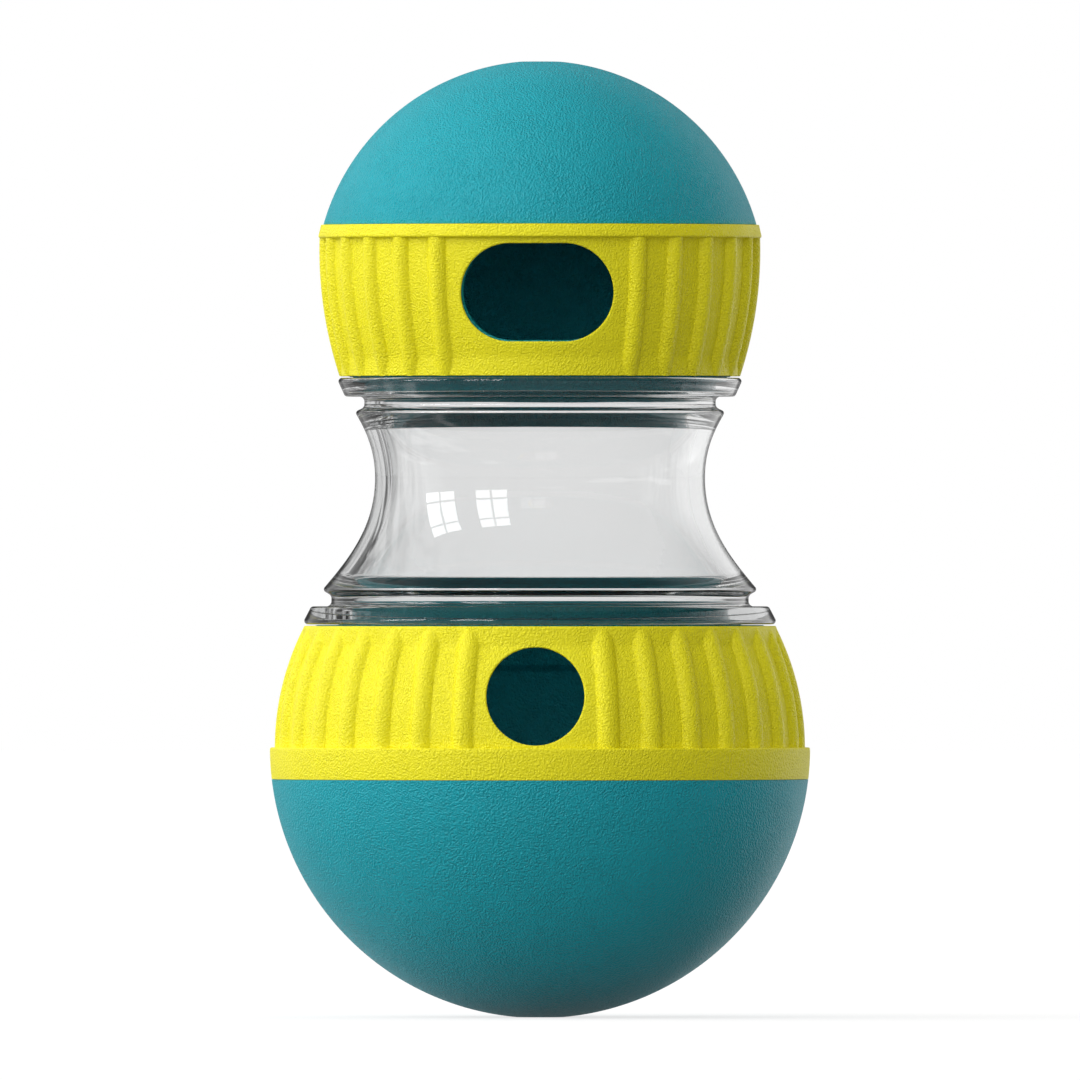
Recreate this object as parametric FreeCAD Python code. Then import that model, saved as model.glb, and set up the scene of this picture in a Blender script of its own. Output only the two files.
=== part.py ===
import FreeCAD, Part
import math
import os

# Wobble treat toy: a weighted ball below, a clear hourglass hopper and a smaller ball on top.
# Each ball has a ribbed ring that turns and opens or shuts the treat outlet behind it.
# Millimetres. +Z is up, the origin is the lowest point of the weighted ball, and the outlets face -Y.

# Clearances
seam_gap = 0.15          # between flat faces that turn or lift off
ring_end_gap = 0.3       # between a ring's open edge and the clear flange beside it
running_gap = 0.3        # between curved faces that turn
socket_gap = 0.3         # between a collar and the clear bore that it slides into
seat_gap = 0.3           # between the slug and the bowl round it

# Weighted bowl
bowl_radius = 52.0
bowl_height = 45.65
foot_radius = 4.5        # of the flat at its lowest point, on which the toy stands still
bowl_wall = 2.5
rim_round = 0.3

# Lower ring
band_height = 6.1        # the smooth band under the ribs
band_step = 0.93         # how far the rib crests lie inside the band
ring_wall = 2.0
ledge_round = 0.3
rib_height = 0.8
lower_rib_width = 5.4
lower_rib_count = 33
lower_pad = 5.47         # degrees from the outlet's side to the middle of the first rib
tip_length = 3.4         # the stretch over which the pointed rib tips run out
tip_land = 0.4           # smooth edge above the rib tips
round_outlet = 18.9      # diameter
round_outlet_margin = 0.35   # plain wall above and below it
round_outlet_turn = -1.06    # degrees that the ring is turned from its open place
round_hole_margin = 1.0  # how far the hole in the cup is larger all round
outlet_round = 0.3

# Lower cup, behind the lower ring
cup_wall = 2.0
cup_skirt = 6.0          # how far the cup reaches down into the bowl's rim
snap_lip = 0.8           # how far the lip over the ring stands out from the cup's wall
lip_height = 0.9
inner_step_height = 22.0     # of the step inside the cup, above the bowl's rim
inner_step_rise = 1.2
inner_step_depth = 1.2
collar_wall = 2.2
lower_flange_rim = 6.3   # width of the clear flange outside its recess
lower_disc_height = 3.5
lower_collar_inset = 2.75    # from the disc's edge in to the collar
lower_collar_height = 1.25
collar_round = 0.8

# Chamber floor
floor_thickness = 2.0
floor_ledge = 2.5        # width of the bowl's ledge under the floor
floor_flank_inset = 3.4
floor_flank_width = 6.5
floor_flank_height = 6.7
floor_crown = 3.4

# Counterweight and its plate
slug_height = 23.0
slug_edge_round = 1.0
post_circle = 24.0       # radius of the circle that the screw posts stand on
post_radius = 4.0
post_count = 3
post_gap = 0.4
post_recess = 0.5        # how far the post tops lie below the plate
pilot_radius = 1.35
pilot_depth = 10.0
plate_thickness = 2.5
plate_edge_gap = 0.5
screw_radius = 1.3
screw_hole_radius = 1.7
screw_reach = 7.0        # depth of the screw in its post
screw_head_radius = 3.0
screw_head_height = 2.0
screw_slot_width = 1.0
screw_slot_depth = 0.9

# Clear hopper
hopper_height = 47.45
waist_height = 28.23
waist_radius = 31.75
hopper_wall = 3.25       # at the waist, and nearly even from one socket to the other
neck_step = 5.38         # from the top flange's edge in to the groove under it
top_flange_proud = 0.55  # how far the top flange stands out past the ring above
top_flange_height = 3.6
top_flange_slope = 1.65
top_groove_height = 2.07
top_nose = 1.83          # how far the ridge stands out from its groove
top_nose_slope = 0.87
top_flank_angle = 29.0
low_flange_proud = 0.49
low_flange_height = 3.45
low_flange_slope = 1.8
low_groove_depth = 5.68
low_groove_height = 2.08
low_nose = 1.77
low_nose_slope = 1.06
low_flank_angle = 40.0
flank_land = 1.7         # height of the flank's straight end beside the ridge
low_inner_angle = 38.25
top_inner_angle = 24.7
low_socket_land = 3.7    # bore left past the collar's end
top_socket_land = 4.0
flange_round = 0.7
groove_round = 1.0
nose_round = 0.6
recess_round = 0.3

# Handles of the flanks' curves, by the curve's height: at the flank and at the waist
low_outer_fullness = (0.367, 0.425)
low_inner_fullness = (0.332, 0.43)
top_outer_fullness = (0.356, 0.363)
top_inner_fullness = (0.34, 0.363)

# Upper ring
upper_ring_radius = 42.74    # of its lip
upper_crest_step = 0.22  # how far the rib crests lie inside the lip
upper_profile_radius = 77.0  # of the ball's side, seen from the side
upper_profile_drop = 2.45    # how far below the lip that side is upright
upper_ring_wall = 1.8
ring_lip_height = 2.9
ring_lip_taper = 0.58
lip_edge_round = 0.35
upper_rib_width = 4.7
upper_rib_count = 27
upper_pad = 7.04
foot_length = 3.6        # the stretch over which the base between the ribs runs out
foot_rib_height = 0.35   # what is left of the ribs at the ring's lower edge
long_outlet_width = 29.45
long_outlet_height = 18.9
long_outlet_foot = 3.2   # plain wall below it
long_outlet_head = 0.9   # plain wall above it
long_outlet_turn = -0.78

# Upper cup, behind the upper ring
upper_flange_rim = 2.9   # width of the clear flange outside its recess
upper_disc_height = 2.4
upper_collar_inset = 5.45
upper_collar_height = 2.4
dome_collar_inset = 2.44
dome_collar_height = 5.3

# Dome
dome_height = 30.92      # from its rim to the flat at its top
dome_flat_radius = 3.75
dome_wall = 2.2
dome_inset = 0.5         # how far the dome's rim lies inside the ring's edge

# Heights and radii that follow from the sizes above
bowl_centre = math.sqrt(bowl_radius ** 2 - foot_radius ** 2)
bowl_inside = bowl_radius - bowl_wall
lower_ring_base = bowl_height + seam_gap
band_top = lower_ring_base + band_height
round_outlet_z = band_top + round_outlet_margin + round_outlet / 2
tip_base = round_outlet_z + round_outlet / 2 + round_outlet_margin
tip_top = tip_base + tip_length
lower_ring_top = tip_top + tip_land
lower_crest = bowl_radius - band_step
lower_valley = lower_crest - rib_height
lower_first_rib = math.degrees(math.asin(round_outlet / 2 / lower_valley)) + lower_pad
lower_ring_inside = lower_valley - ring_wall
lower_cup_outside = lower_ring_inside - running_gap
lower_cup_inside = lower_cup_outside - cup_wall

hopper_base = lower_ring_top + ring_end_gap
hopper_top = hopper_base + hopper_height

upper_ring_base = hopper_top + ring_end_gap
foot_top = upper_ring_base + foot_length
long_outlet_z = foot_top + long_outlet_foot + long_outlet_height / 2
lip_base = long_outlet_z + long_outlet_height / 2 + long_outlet_head
upper_ring_top = lip_base + ring_lip_height
profile_z = lip_base - upper_profile_drop
upper_crest_radius = upper_ring_radius - upper_crest_step
profile_centre = upper_crest_radius - upper_profile_radius
upper_valley = upper_profile_radius - rib_height
upper_valley_radius = upper_crest_radius - rib_height
upper_first_rib = math.degrees(math.asin(long_outlet_width / 2 / upper_valley_radius)) + upper_pad
upper_ring_inside = upper_valley - upper_ring_wall
upper_cup_outside = upper_ring_inside - running_gap
upper_cup_inside = upper_cup_outside - cup_wall


def sphere_r(radius, centre_z, z):
    """Radius, from the toy's axis, of a sphere on the axis at height z."""
    return math.sqrt(radius ** 2 - (z - centre_z) ** 2)


def lower_r(radius, z):
    """Radius at height z of a sphere that is concentric with the bowl."""
    return sphere_r(radius, bowl_centre, z)


def upper_r(radius, z):
    """Radius at height z of the upper ball's side, an arc that is upright a little below the lip."""
    return profile_centre + sphere_r(radius, profile_z, z)


lower_edge_radius = lower_r(lower_crest, lower_ring_top)
upper_edge_radius = upper_r(upper_profile_radius, upper_ring_base)

lower_disc_radius = lower_edge_radius - lower_flange_rim - socket_gap
lower_collar_radius = lower_disc_radius - lower_collar_inset
lower_disc_base = lower_ring_top + seam_gap
lower_disc_top = lower_disc_base + lower_disc_height
lower_collar_top = lower_disc_top + lower_collar_height

upper_disc_radius = upper_edge_radius - upper_flange_rim + top_flange_proud - socket_gap
upper_collar_radius = upper_disc_radius - upper_collar_inset
upper_lip_base = hopper_top + seam_gap
upper_disc_base = upper_lip_base - upper_disc_height
upper_collar_end = upper_disc_base - upper_collar_height

floor_top = bowl_height - cup_skirt
floor_base = floor_top - floor_thickness
slug_radius = bowl_inside - seat_gap
slug_base = bowl_centre - slug_radius
slug_top = slug_base + slug_height

dome_base = upper_ring_top + seam_gap
dome_rim_radius = upper_ring_radius - ring_lip_taper - dome_inset
dome_top = dome_base + dome_height
dome_centre = dome_base + (dome_height ** 2 + dome_flat_radius ** 2 - dome_rim_radius ** 2) / (2 * dome_height)
dome_radius = math.hypot(dome_rim_radius, dome_base - dome_centre)
dome_inside = dome_radius - dome_wall
upper_cup_shoulder = upper_r(upper_cup_outside, lip_base)
dome_collar_radius = upper_cup_shoulder - dome_collar_inset

Z_AXIS = FreeCAD.Vector(0, 0, 1)
ORIGIN = FreeCAD.Vector(0, 0, 0)


def point(r, z):
    return FreeCAD.Vector(r, 0, z)


def run_inward(angle, up):
    """Direction towards the axis at an angle, in degrees, from upright. up is 1 or -1."""
    return FreeCAD.Vector(-math.sin(math.radians(angle)), 0, up * math.cos(math.radians(angle)))


class Outline:
    """A closed outline in the half plane of radius and height, drawn step by step."""

    def __init__(self, r, z, rounding=0.0):
        self.corners = [(point(r, z), rounding)]
        self.links = []

    def line(self, r, z, rounding=0.0):
        """A straight step. A corner between two straight steps may be rounded."""
        self.corners.append((point(r, z), rounding))
        self.links.append(None)
        return self

    def arc(self, centre_r, centre_z, r, z):
        """The shorter arc about a centre."""
        self.corners.append((point(r, z), 0.0))
        self.links.append(("arc", point(centre_r, centre_z)))
        return self

    def curve(self, handle_1, handle_2, r, z):
        """A smooth curve with two handles."""
        self.corners.append((point(r, z), 0.0))
        self.links.append(("curve", handle_1, handle_2))
        return self

    def ends_of_corner(self, index):
        """Where a corner's rounding starts and ends, and the middle of the rounding."""
        here, rounding = self.corners[index]
        if rounding == 0.0:
            return here, here, None
        before = self.corners[index - 1][0]
        after = self.corners[(index + 1) % len(self.corners)][0]
        to_before = (before - here).normalize()
        to_after = (after - here).normalize()
        half = to_before.getAngle(to_after) / 2
        setback = rounding / math.tan(half)
        inward = (to_before + to_after).normalize()
        middle = here + inward * (rounding / math.sin(half) - rounding)
        return here + to_before * setback, here + to_after * setback, middle

    def edges(self):
        parts = []
        corner_ends = [self.ends_of_corner(i) for i in range(len(self.corners))]
        links = self.links + [None]
        for index, link in enumerate(links):
            start = corner_ends[index][1]
            end = corner_ends[(index + 1) % len(self.corners)][0]
            if link is None:
                parts.append(Part.LineSegment(start, end).toShape())
            elif link[0] == "arc":
                centre = link[1]
                toward = ((start - centre).normalize() + (end - centre).normalize()).normalize()
                middle = centre + toward * (start - centre).Length
                parts.append(Part.Arc(start, middle, end).toShape())
            else:
                bezier = Part.BezierCurve()
                bezier.setPoles([start, link[1], link[2], end])
                parts.append(bezier.toShape())
            finish, middle = corner_ends[(index + 1) % len(self.corners)][1:]
            if middle is not None:
                parts.append(Part.Arc(end, middle, finish).toShape())
        return parts

    def turned(self):
        """The solid that the outline makes when it is turned about the toy's axis."""
        face = Part.Face(Part.Wire(Part.__sortEdges__(self.edges())))
        return face.revolve(ORIGIN, Z_AXIS, 360)


def solid_of(shape):
    """The single solid of a shape, with merged faces."""
    clean = shape.removeSplitter()
    assert len(clean.Solids) == 1, "a piece is not one solid"
    return clean.Solids[0]


def ease_circle(shape, r, z, size):
    """Rounds the circular edge of a turned solid at radius r and height z."""
    near = 0.01
    found = [
        edge for edge in shape.Edges
        if not edge.Degenerated
        and isinstance(edge.Curve, Part.Circle)
        and abs(edge.Curve.Radius - r) < near
        and abs(edge.Curve.Center.z - z) < near
    ]
    return shape.makeFillet(size, found)


def cylinder(radius, z_low, z_high, x=0.0, y=0.0):
    return Part.makeCylinder(radius, z_high - z_low, FreeCAD.Vector(x, y, z_low))


def ring_ribs(count, first_angle, width, crest_radius, axis_r, axis_z, z_low, z_high):
    """Ribs whose crests follow an arc in the upright plane. Their section is part of a circle."""
    sunk = 0.6
    section_radius = (width ** 2 / 4 + rib_height ** 2) / (2 * rib_height)
    depth = rib_height + sunk
    half_chord = math.sqrt(section_radius ** 2 - (section_radius - depth) ** 2)
    crest = axis_r + crest_radius
    left = FreeCAD.Vector(crest - depth, -half_chord, axis_z)
    right = FreeCAD.Vector(crest - depth, half_chord, axis_z)
    top = FreeCAD.Vector(crest, 0, axis_z)
    section = Part.Face(Part.Wire([
        Part.Arc(left, top, right).toShape(),
        Part.LineSegment(right, left).toShape(),
    ]))
    spare = 2.0
    angle_low = math.degrees(math.asin((z_low - axis_z - spare) / crest_radius))
    angle_high = math.degrees(math.asin((z_high - axis_z + spare) / crest_radius))
    hub = FreeCAD.Vector(axis_r, 0, axis_z)
    upward = FreeCAD.Vector(0, -1, 0)
    section.rotate(hub, upward, angle_low)
    rib = section.revolve(hub, upward, angle_high - angle_low)
    slab_half = crest + spare
    slab = Part.makeBox(
        2 * slab_half, 2 * slab_half, z_high - z_low,
        FreeCAD.Vector(-slab_half, -slab_half, z_low),
    )
    rib = rib.common(slab)
    pitch = (360.0 - 2 * first_angle) / (count - 1)
    ribs = []
    for index in range(count):
        copy = rib.copy()
        copy.rotate(ORIGIN, Z_AXIS, -90.0 + first_angle + index * pitch)
        ribs.append(copy)
    return ribs


def long_hole(width, height, z, reach):
    """A cutter for a hole with round ends that faces -Y. It is round where width equals height."""
    radius = height / 2
    side = width / 2 - radius
    backward = FreeCAD.Vector(0, -1, 0)
    near = radius
    ends = [
        Part.makeCylinder(radius, reach, FreeCAD.Vector(x, -near, z), backward)
        for x in ((-side, side) if side > 0 else (0.0,))
    ]
    if side <= 0:
        return ends[0]
    middle = Part.makeBox(
        2 * side, reach, height, FreeCAD.Vector(-side, -near - reach, z - radius)
    )
    return ends[0].fuse([ends[1], middle]).removeSplitter()


def cut_outlet(ring, width, height, z, axis_r, axis_z, mid_radius):
    """Cuts an outlet in a ring and rounds its outer edge. The arc about (axis_r, axis_z) halves the wall."""
    cutter = long_hole(width, height, z, 2 * (axis_r + mid_radius))
    opened = solid_of(ring.cut(cutter))
    margin = 0.05
    half_width = width / 2 + margin
    half_height = height / 2 + margin
    rim = []
    for edge in opened.Edges:
        box = edge.BoundBox
        inside = (
            box.XMin > -half_width and box.XMax < half_width
            and box.ZMin > z - half_height and box.ZMax < z + half_height
        )
        middle = edge.valueAt((edge.FirstParameter + edge.LastParameter) / 2)
        from_axis = math.hypot(math.hypot(middle.x, middle.y) - axis_r, middle.z - axis_z)
        runs_round = box.YLength < box.XLength + box.ZLength
        if inside and from_axis > mid_radius and middle.y < 0 and runs_round:
            rim.append(edge)
    return opened.makeFillet(outlet_round, rim)


def make_bottom_bowl():
    rim = lower_r(bowl_radius, bowl_height)
    ledge_inside = lower_cup_outside - floor_ledge
    ledge_foot = bowl_centre - math.sqrt(bowl_inside ** 2 - ledge_inside ** 2)
    shell = (
        Outline(0, 0)
        .line(foot_radius, 0)
        .arc(0, bowl_centre, rim, bowl_height)
        .line(lower_cup_outside, bowl_height)
        .line(lower_cup_outside, floor_base)
        .line(ledge_inside, floor_base)
        .line(ledge_inside, ledge_foot)
        .arc(0, bowl_centre, 0, bowl_centre - bowl_inside)
    ).turned()
    shell = ease_circle(shell, rim, bowl_height, rim_round)
    inner_ball = Part.makeSphere(bowl_radius - bowl_wall / 2, point(0, bowl_centre))
    post_top = slug_top - post_recess
    posts = []
    holes = []
    for x, y in post_places():
        posts.append(cylinder(post_radius, 0, post_top, x, y).common(inner_ball))
        holes.append(cylinder(pilot_radius, post_top - pilot_depth, post_top + 1, x, y))
    return solid_of(shell.fuse(posts).cut(holes))


def post_places():
    """Centres of the screw posts, one of them at the back."""
    places = []
    for index in range(post_count):
        angle = math.radians(90 + index * 360 / post_count)
        places.append((post_circle * math.cos(angle), post_circle * math.sin(angle)))
    return places


def make_counterweight():
    top_radius = lower_r(slug_radius, slug_top)
    slug = (
        Outline(0, slug_base)
        .arc(0, bowl_centre, top_radius, slug_top)
        .line(0, slug_top)
    ).turned()
    slug = ease_circle(slug, top_radius, slug_top, slug_edge_round)
    holes = [cylinder(post_radius + post_gap, 0, slug_top + 1, x, y) for x, y in post_places()]
    return solid_of(slug.cut(holes))


def make_weight_plate():
    radius = lower_r(bowl_inside - plate_edge_gap, slug_top)
    plate = cylinder(radius, slug_top, slug_top + plate_thickness)
    holes = [cylinder(screw_hole_radius, 0, slug_top + 2 * plate_thickness, x, y) for x, y in post_places()]
    return solid_of(plate.cut(holes))


def make_weight_screws():
    """Three pan-head screws, one solid each."""
    seat = slug_top + plate_thickness
    tip = slug_top - post_recess - screw_reach
    head_top = seat + screw_head_height
    screws = []
    for x, y in post_places():
        profile = (
            Outline(0, tip)
            .line(screw_radius, tip + screw_radius)
            .line(screw_radius, seat)
            .line(screw_head_radius, seat)
            .line(screw_head_radius, head_top, screw_head_height / 2)
            .line(0, head_top)
        )
        screw = profile.turned()
        slot = Part.makeBox(
            2 * screw_head_radius, screw_slot_width, screw_slot_depth,
            FreeCAD.Vector(-screw_head_radius, -screw_slot_width / 2, head_top - screw_slot_depth),
        )
        screw = solid_of(screw.cut(slot))
        screw.translate(FreeCAD.Vector(x, y, 0))
        screws.append(screw)
    return Part.makeCompound(screws)


def make_chamber_floor():
    """A raised floor that sheds the treats outward to the chamber's wall."""
    rim = lower_cup_outside
    flank_foot = rim - floor_flank_inset
    flank_head = flank_foot - floor_flank_width
    flank_top = floor_top + floor_flank_height
    crown_radius = (flank_head ** 2 + floor_crown ** 2) / (2 * floor_crown)
    crown_top = flank_top + floor_crown
    crown_centre = crown_top - crown_radius
    under_radius = crown_radius - floor_thickness
    under_head = flank_head - floor_thickness / 2
    under_top = crown_centre + math.sqrt(under_radius ** 2 - under_head ** 2)
    return solid_of((
        Outline(rim, floor_base)
        .line(rim, floor_top)
        .line(flank_foot, floor_top)
        .line(flank_head, flank_top)
        .arc(0, crown_centre, 0, crown_top)
        .line(0, crown_top - floor_thickness)
        .arc(0, crown_centre, under_head, under_top)
        .line(flank_foot - floor_thickness, floor_base)
    ).turned())


def make_lower_cup():
    lip_base_z = lower_disc_base - lip_height
    wall_at_lip = lower_r(lower_cup_outside, lip_base_z)
    shoulder_under = lower_disc_base - cup_wall
    collar_inside = lower_collar_radius - collar_wall
    disc_inside = lower_disc_radius - cup_wall
    disc_under = lower_disc_top - cup_wall
    step_base = bowl_height + inner_step_height - inner_step_rise
    step_top = bowl_height + inner_step_height
    step_inside = lower_cup_inside - inner_step_depth
    cup = (
        Outline(lower_cup_outside, floor_top)
        .line(lower_cup_outside, bowl_centre)
        .arc(0, bowl_centre, wall_at_lip, lip_base_z)
        .line(wall_at_lip + snap_lip, lip_base_z)
        .line(wall_at_lip + snap_lip, lower_disc_base)
        .line(lower_disc_radius, lower_disc_base)
        .line(lower_disc_radius, lower_disc_top, recess_round)
        .line(lower_collar_radius, lower_disc_top)
        .line(lower_collar_radius, lower_collar_top, collar_round)
        .line(collar_inside, lower_collar_top, rim_round)
        .line(collar_inside, disc_under)
        .line(disc_inside, disc_under)
        .line(disc_inside, shoulder_under)
        .line(lower_r(step_inside, shoulder_under), shoulder_under)
        .arc(0, bowl_centre, lower_r(step_inside, step_top), step_top)
        .line(lower_r(lower_cup_inside, step_base), step_base)
        .arc(0, bowl_centre, lower_cup_inside, bowl_centre)
        .line(lower_cup_inside, floor_top)
    ).turned()
    hole = long_hole(
        round_outlet + 2 * round_hole_margin, round_outlet + 2 * round_hole_margin,
        round_outlet_z, 2 * bowl_radius,
    )
    return solid_of(cup.cut(hole))


def make_lower_ring():
    inside_low = lower_ring_inside
    rabbet_base = lower_disc_base - lip_height - seam_gap
    rabbet = lower_r(lower_cup_outside, lower_disc_base - lip_height) + snap_lip + running_gap
    band_edge = lower_r(bowl_radius, band_top)
    body = (
        Outline(inside_low, lower_ring_base)
        .line(lower_r(bowl_radius, lower_ring_base), lower_ring_base)
        .arc(0, bowl_centre, band_edge, band_top)
        .line(lower_r(lower_valley, band_top), band_top)
        .arc(0, bowl_centre, lower_r(lower_valley, tip_base), tip_base)
        .line(lower_r(lower_crest, tip_top), tip_top)
        .line(lower_edge_radius, lower_ring_top)
        .line(rabbet, lower_ring_top)
        .line(rabbet, rabbet_base)
        .line(lower_r(lower_ring_inside, rabbet_base), rabbet_base)
        .arc(0, bowl_centre, inside_low, bowl_centre)
    ).turned()
    body = ease_circle(body, band_edge, band_top, ledge_round)
    body = ease_circle(body, lower_r(bowl_radius, lower_ring_base), lower_ring_base, ledge_round)
    ribs = ring_ribs(
        lower_rib_count, lower_first_rib, lower_rib_width, lower_crest, 0, bowl_centre,
        band_top - ledge_round, tip_top,
    )
    ribbed = solid_of(body.fuse(ribs))
    ring = cut_outlet(
        ribbed, round_outlet, round_outlet, round_outlet_z,
        0, bowl_centre, lower_valley - ring_wall / 2,
    )
    ring.rotate(ORIGIN, Z_AXIS, round_outlet_turn)
    return solid_of(ring)


def flank_curve(flank, run, waist, fullness):
    """Handles, flank's and waist's, of the curve from a flank's end to the upright waist."""
    height = waist.z - flank.z
    return flank + run * (fullness[0] * abs(height)), waist - FreeCAD.Vector(0, 0, fullness[1] * height)


def make_hopper_body():
    """The clear hourglass, with a recess and a bore at each end for the discs and collars."""
    top_edge = upper_edge_radius + top_flange_proud
    top_groove = top_edge - neck_step
    top_flange_base = hopper_top - top_flange_height
    top_nose_radius = top_groove + top_nose
    top_nose_z = top_flange_base - top_groove_height - top_nose_slope
    low_edge = lower_edge_radius + low_flange_proud
    low_groove = low_edge - low_groove_depth
    low_flange_top = hopper_base + low_flange_height
    low_nose_radius = low_groove + low_nose
    low_nose_z = low_flange_top + low_groove_height + low_nose_slope

    waist_z = hopper_base + waist_height
    waist = point(waist_radius, waist_z)
    waist_inside = point(waist_radius - hopper_wall, waist_z)

    low_run = run_inward(low_flank_angle, 1)
    low_flank = point(low_nose_radius, low_nose_z) + low_run * (flank_land / abs(low_run.z))
    top_run = run_inward(top_flank_angle, -1)
    top_flank = point(top_nose_radius, top_nose_z) + top_run * (flank_land / abs(top_run.z))

    low_recess = lower_disc_radius + socket_gap
    low_recess_top = lower_disc_top + seam_gap
    low_bore = point(lower_collar_radius + socket_gap, lower_collar_top + low_socket_land)
    top_recess = upper_disc_radius + socket_gap
    top_recess_base = upper_disc_base - seam_gap
    top_bore = point(upper_collar_radius + socket_gap, upper_collar_end - top_socket_land)

    low_handles = flank_curve(low_flank, low_run, waist, low_outer_fullness)
    top_handles = flank_curve(top_flank, top_run, waist, top_outer_fullness)
    low_inner_handles = flank_curve(
        low_bore, run_inward(low_inner_angle, 1), waist_inside, low_inner_fullness
    )
    top_inner_handles = flank_curve(
        top_bore, run_inward(top_inner_angle, -1), waist_inside, top_inner_fullness
    )
    return solid_of((
        Outline(low_recess, hopper_base)
        .line(low_edge, hopper_base, flange_round)
        .line(low_edge - low_flange_slope, low_flange_top, flange_round)
        .line(low_groove, low_flange_top, groove_round)
        .line(low_groove, low_flange_top + low_groove_height, groove_round)
        .line(low_nose_radius, low_nose_z, nose_round)
        .line(low_flank.x, low_flank.z)
        .curve(low_handles[0], low_handles[1], waist.x, waist.z)
        .curve(top_handles[1], top_handles[0], top_flank.x, top_flank.z)
        .line(top_nose_radius, top_nose_z, nose_round)
        .line(top_groove, top_flange_base - top_groove_height, groove_round)
        .line(top_groove, top_flange_base, groove_round)
        .line(top_edge - top_flange_slope, top_flange_base, flange_round)
        .line(top_edge, hopper_top, flange_round)
        .line(top_recess, hopper_top)
        .line(top_recess, top_recess_base, recess_round)
        .line(top_bore.x, top_recess_base, recess_round)
        .line(top_bore.x, top_bore.z)
        .curve(top_inner_handles[0], top_inner_handles[1], waist_inside.x, waist_inside.z)
        .curve(low_inner_handles[1], low_inner_handles[0], low_bore.x, low_bore.z)
        .line(low_bore.x, low_recess_top, recess_round)
        .line(low_recess, low_recess_top, recess_round)
    ).turned())


def make_upper_cup():
    lip_top = upper_lip_base + lip_height
    wall_at_lip = upper_r(upper_cup_outside, lip_top)
    floor_z = upper_disc_base + cup_wall
    collar_inside = upper_collar_radius - collar_wall
    shoulder = upper_cup_shoulder
    wall_inside = upper_r(upper_cup_inside, lip_base)
    collar_top = dome_base + dome_collar_height
    cup = (
        Outline(upper_collar_radius, upper_collar_end, collar_round)
        .line(upper_collar_radius, upper_disc_base)
        .line(upper_disc_radius, upper_disc_base, recess_round)
        .line(upper_disc_radius, upper_lip_base)
        .line(wall_at_lip + snap_lip, upper_lip_base)
        .line(wall_at_lip + snap_lip, lip_top)
        .line(wall_at_lip, lip_top)
        .arc(profile_centre, profile_z, shoulder, lip_base)
        .line(shoulder, dome_base)
        .line(dome_collar_radius, dome_base)
        .line(dome_collar_radius, collar_top)
        .line(dome_collar_radius - collar_wall, collar_top)
        .line(dome_collar_radius - collar_wall, dome_base - cup_wall)
        .line(wall_inside, dome_base - cup_wall)
        .line(wall_inside, lip_base)
        .arc(profile_centre, profile_z, upper_r(upper_cup_inside, floor_z), floor_z)
        .line(collar_inside, floor_z)
        .line(collar_inside, upper_collar_end)
    ).turned()
    slot = long_hole(long_outlet_width, long_outlet_height, long_outlet_z, 2 * upper_ring_radius)
    return solid_of(cup.cut(slot))


def make_upper_ring():
    rabbet = upper_r(upper_cup_outside, upper_lip_base + lip_height) + snap_lip + running_gap
    rabbet_top = upper_lip_base + lip_height + seam_gap
    lip_top_radius = upper_ring_radius - ring_lip_taper
    inside_top = upper_r(upper_ring_inside, lip_base)
    body = (
        Outline(rabbet, upper_ring_base)
        .line(upper_edge_radius - foot_rib_height, upper_ring_base)
        .line(upper_r(upper_valley, foot_top), foot_top)
        .arc(profile_centre, profile_z, upper_r(upper_valley, lip_base), lip_base)
        .line(upper_ring_radius, lip_base, lip_edge_round)
        .line(lip_top_radius, upper_ring_top, lip_edge_round)
        .line(inside_top, upper_ring_top)
        .line(inside_top, lip_base)
        .arc(profile_centre, profile_z, upper_r(upper_ring_inside, rabbet_top), rabbet_top)
        .line(rabbet, rabbet_top)
    ).turned()
    ribs = ring_ribs(
        upper_rib_count, upper_first_rib, upper_rib_width, upper_profile_radius,
        profile_centre, profile_z, upper_ring_base, lip_base,
    )
    ribbed = solid_of(body.fuse(ribs))
    ring = cut_outlet(
        ribbed, long_outlet_width, long_outlet_height, long_outlet_z,
        profile_centre, profile_z, upper_valley - upper_ring_wall / 2,
    )
    ring.rotate(ORIGIN, Z_AXIS, long_outlet_turn)
    return solid_of(ring)


def make_top_dome():
    inner_top = dome_centre + dome_inside
    collar_top = dome_centre + math.sqrt(dome_inside ** 2 - dome_collar_radius ** 2)
    dome = (
        Outline(dome_rim_radius, dome_base)
        .arc(0, dome_centre, dome_flat_radius, dome_top)
        .line(0, dome_top)
        .line(0, inner_top)
        .arc(0, dome_centre, dome_collar_radius, collar_top)
        .line(dome_collar_radius, dome_base)
    ).turned()
    return solid_of(ease_circle(dome, dome_rim_radius, dome_base, rim_round))


PIECES = {
    "bottom_bowl": make_bottom_bowl,
    "counterweight": make_counterweight,
    "weight_plate": make_weight_plate,
    "weight_screws": make_weight_screws,
    "chamber_floor": make_chamber_floor,
    "lower_cup": make_lower_cup,
    "lower_ring": make_lower_ring,
    "hopper_body": make_hopper_body,
    "upper_cup": make_upper_cup,
    "upper_ring": make_upper_ring,
    "top_dome": make_top_dome,
}

os.makedirs("parts", exist_ok=True)
for name, make in PIECES.items():
    shape = make()
    shape.exportStep(f"parts/{name}.step")
    print(f"{name:15} {len(shape.Solids)} solids, {shape.Volume / 1000:7.2f} cm3, valid {shape.isValid()}")
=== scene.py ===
import math

import bpy
import numpy as np
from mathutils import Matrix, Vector
from numpy.linalg import norm

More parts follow.
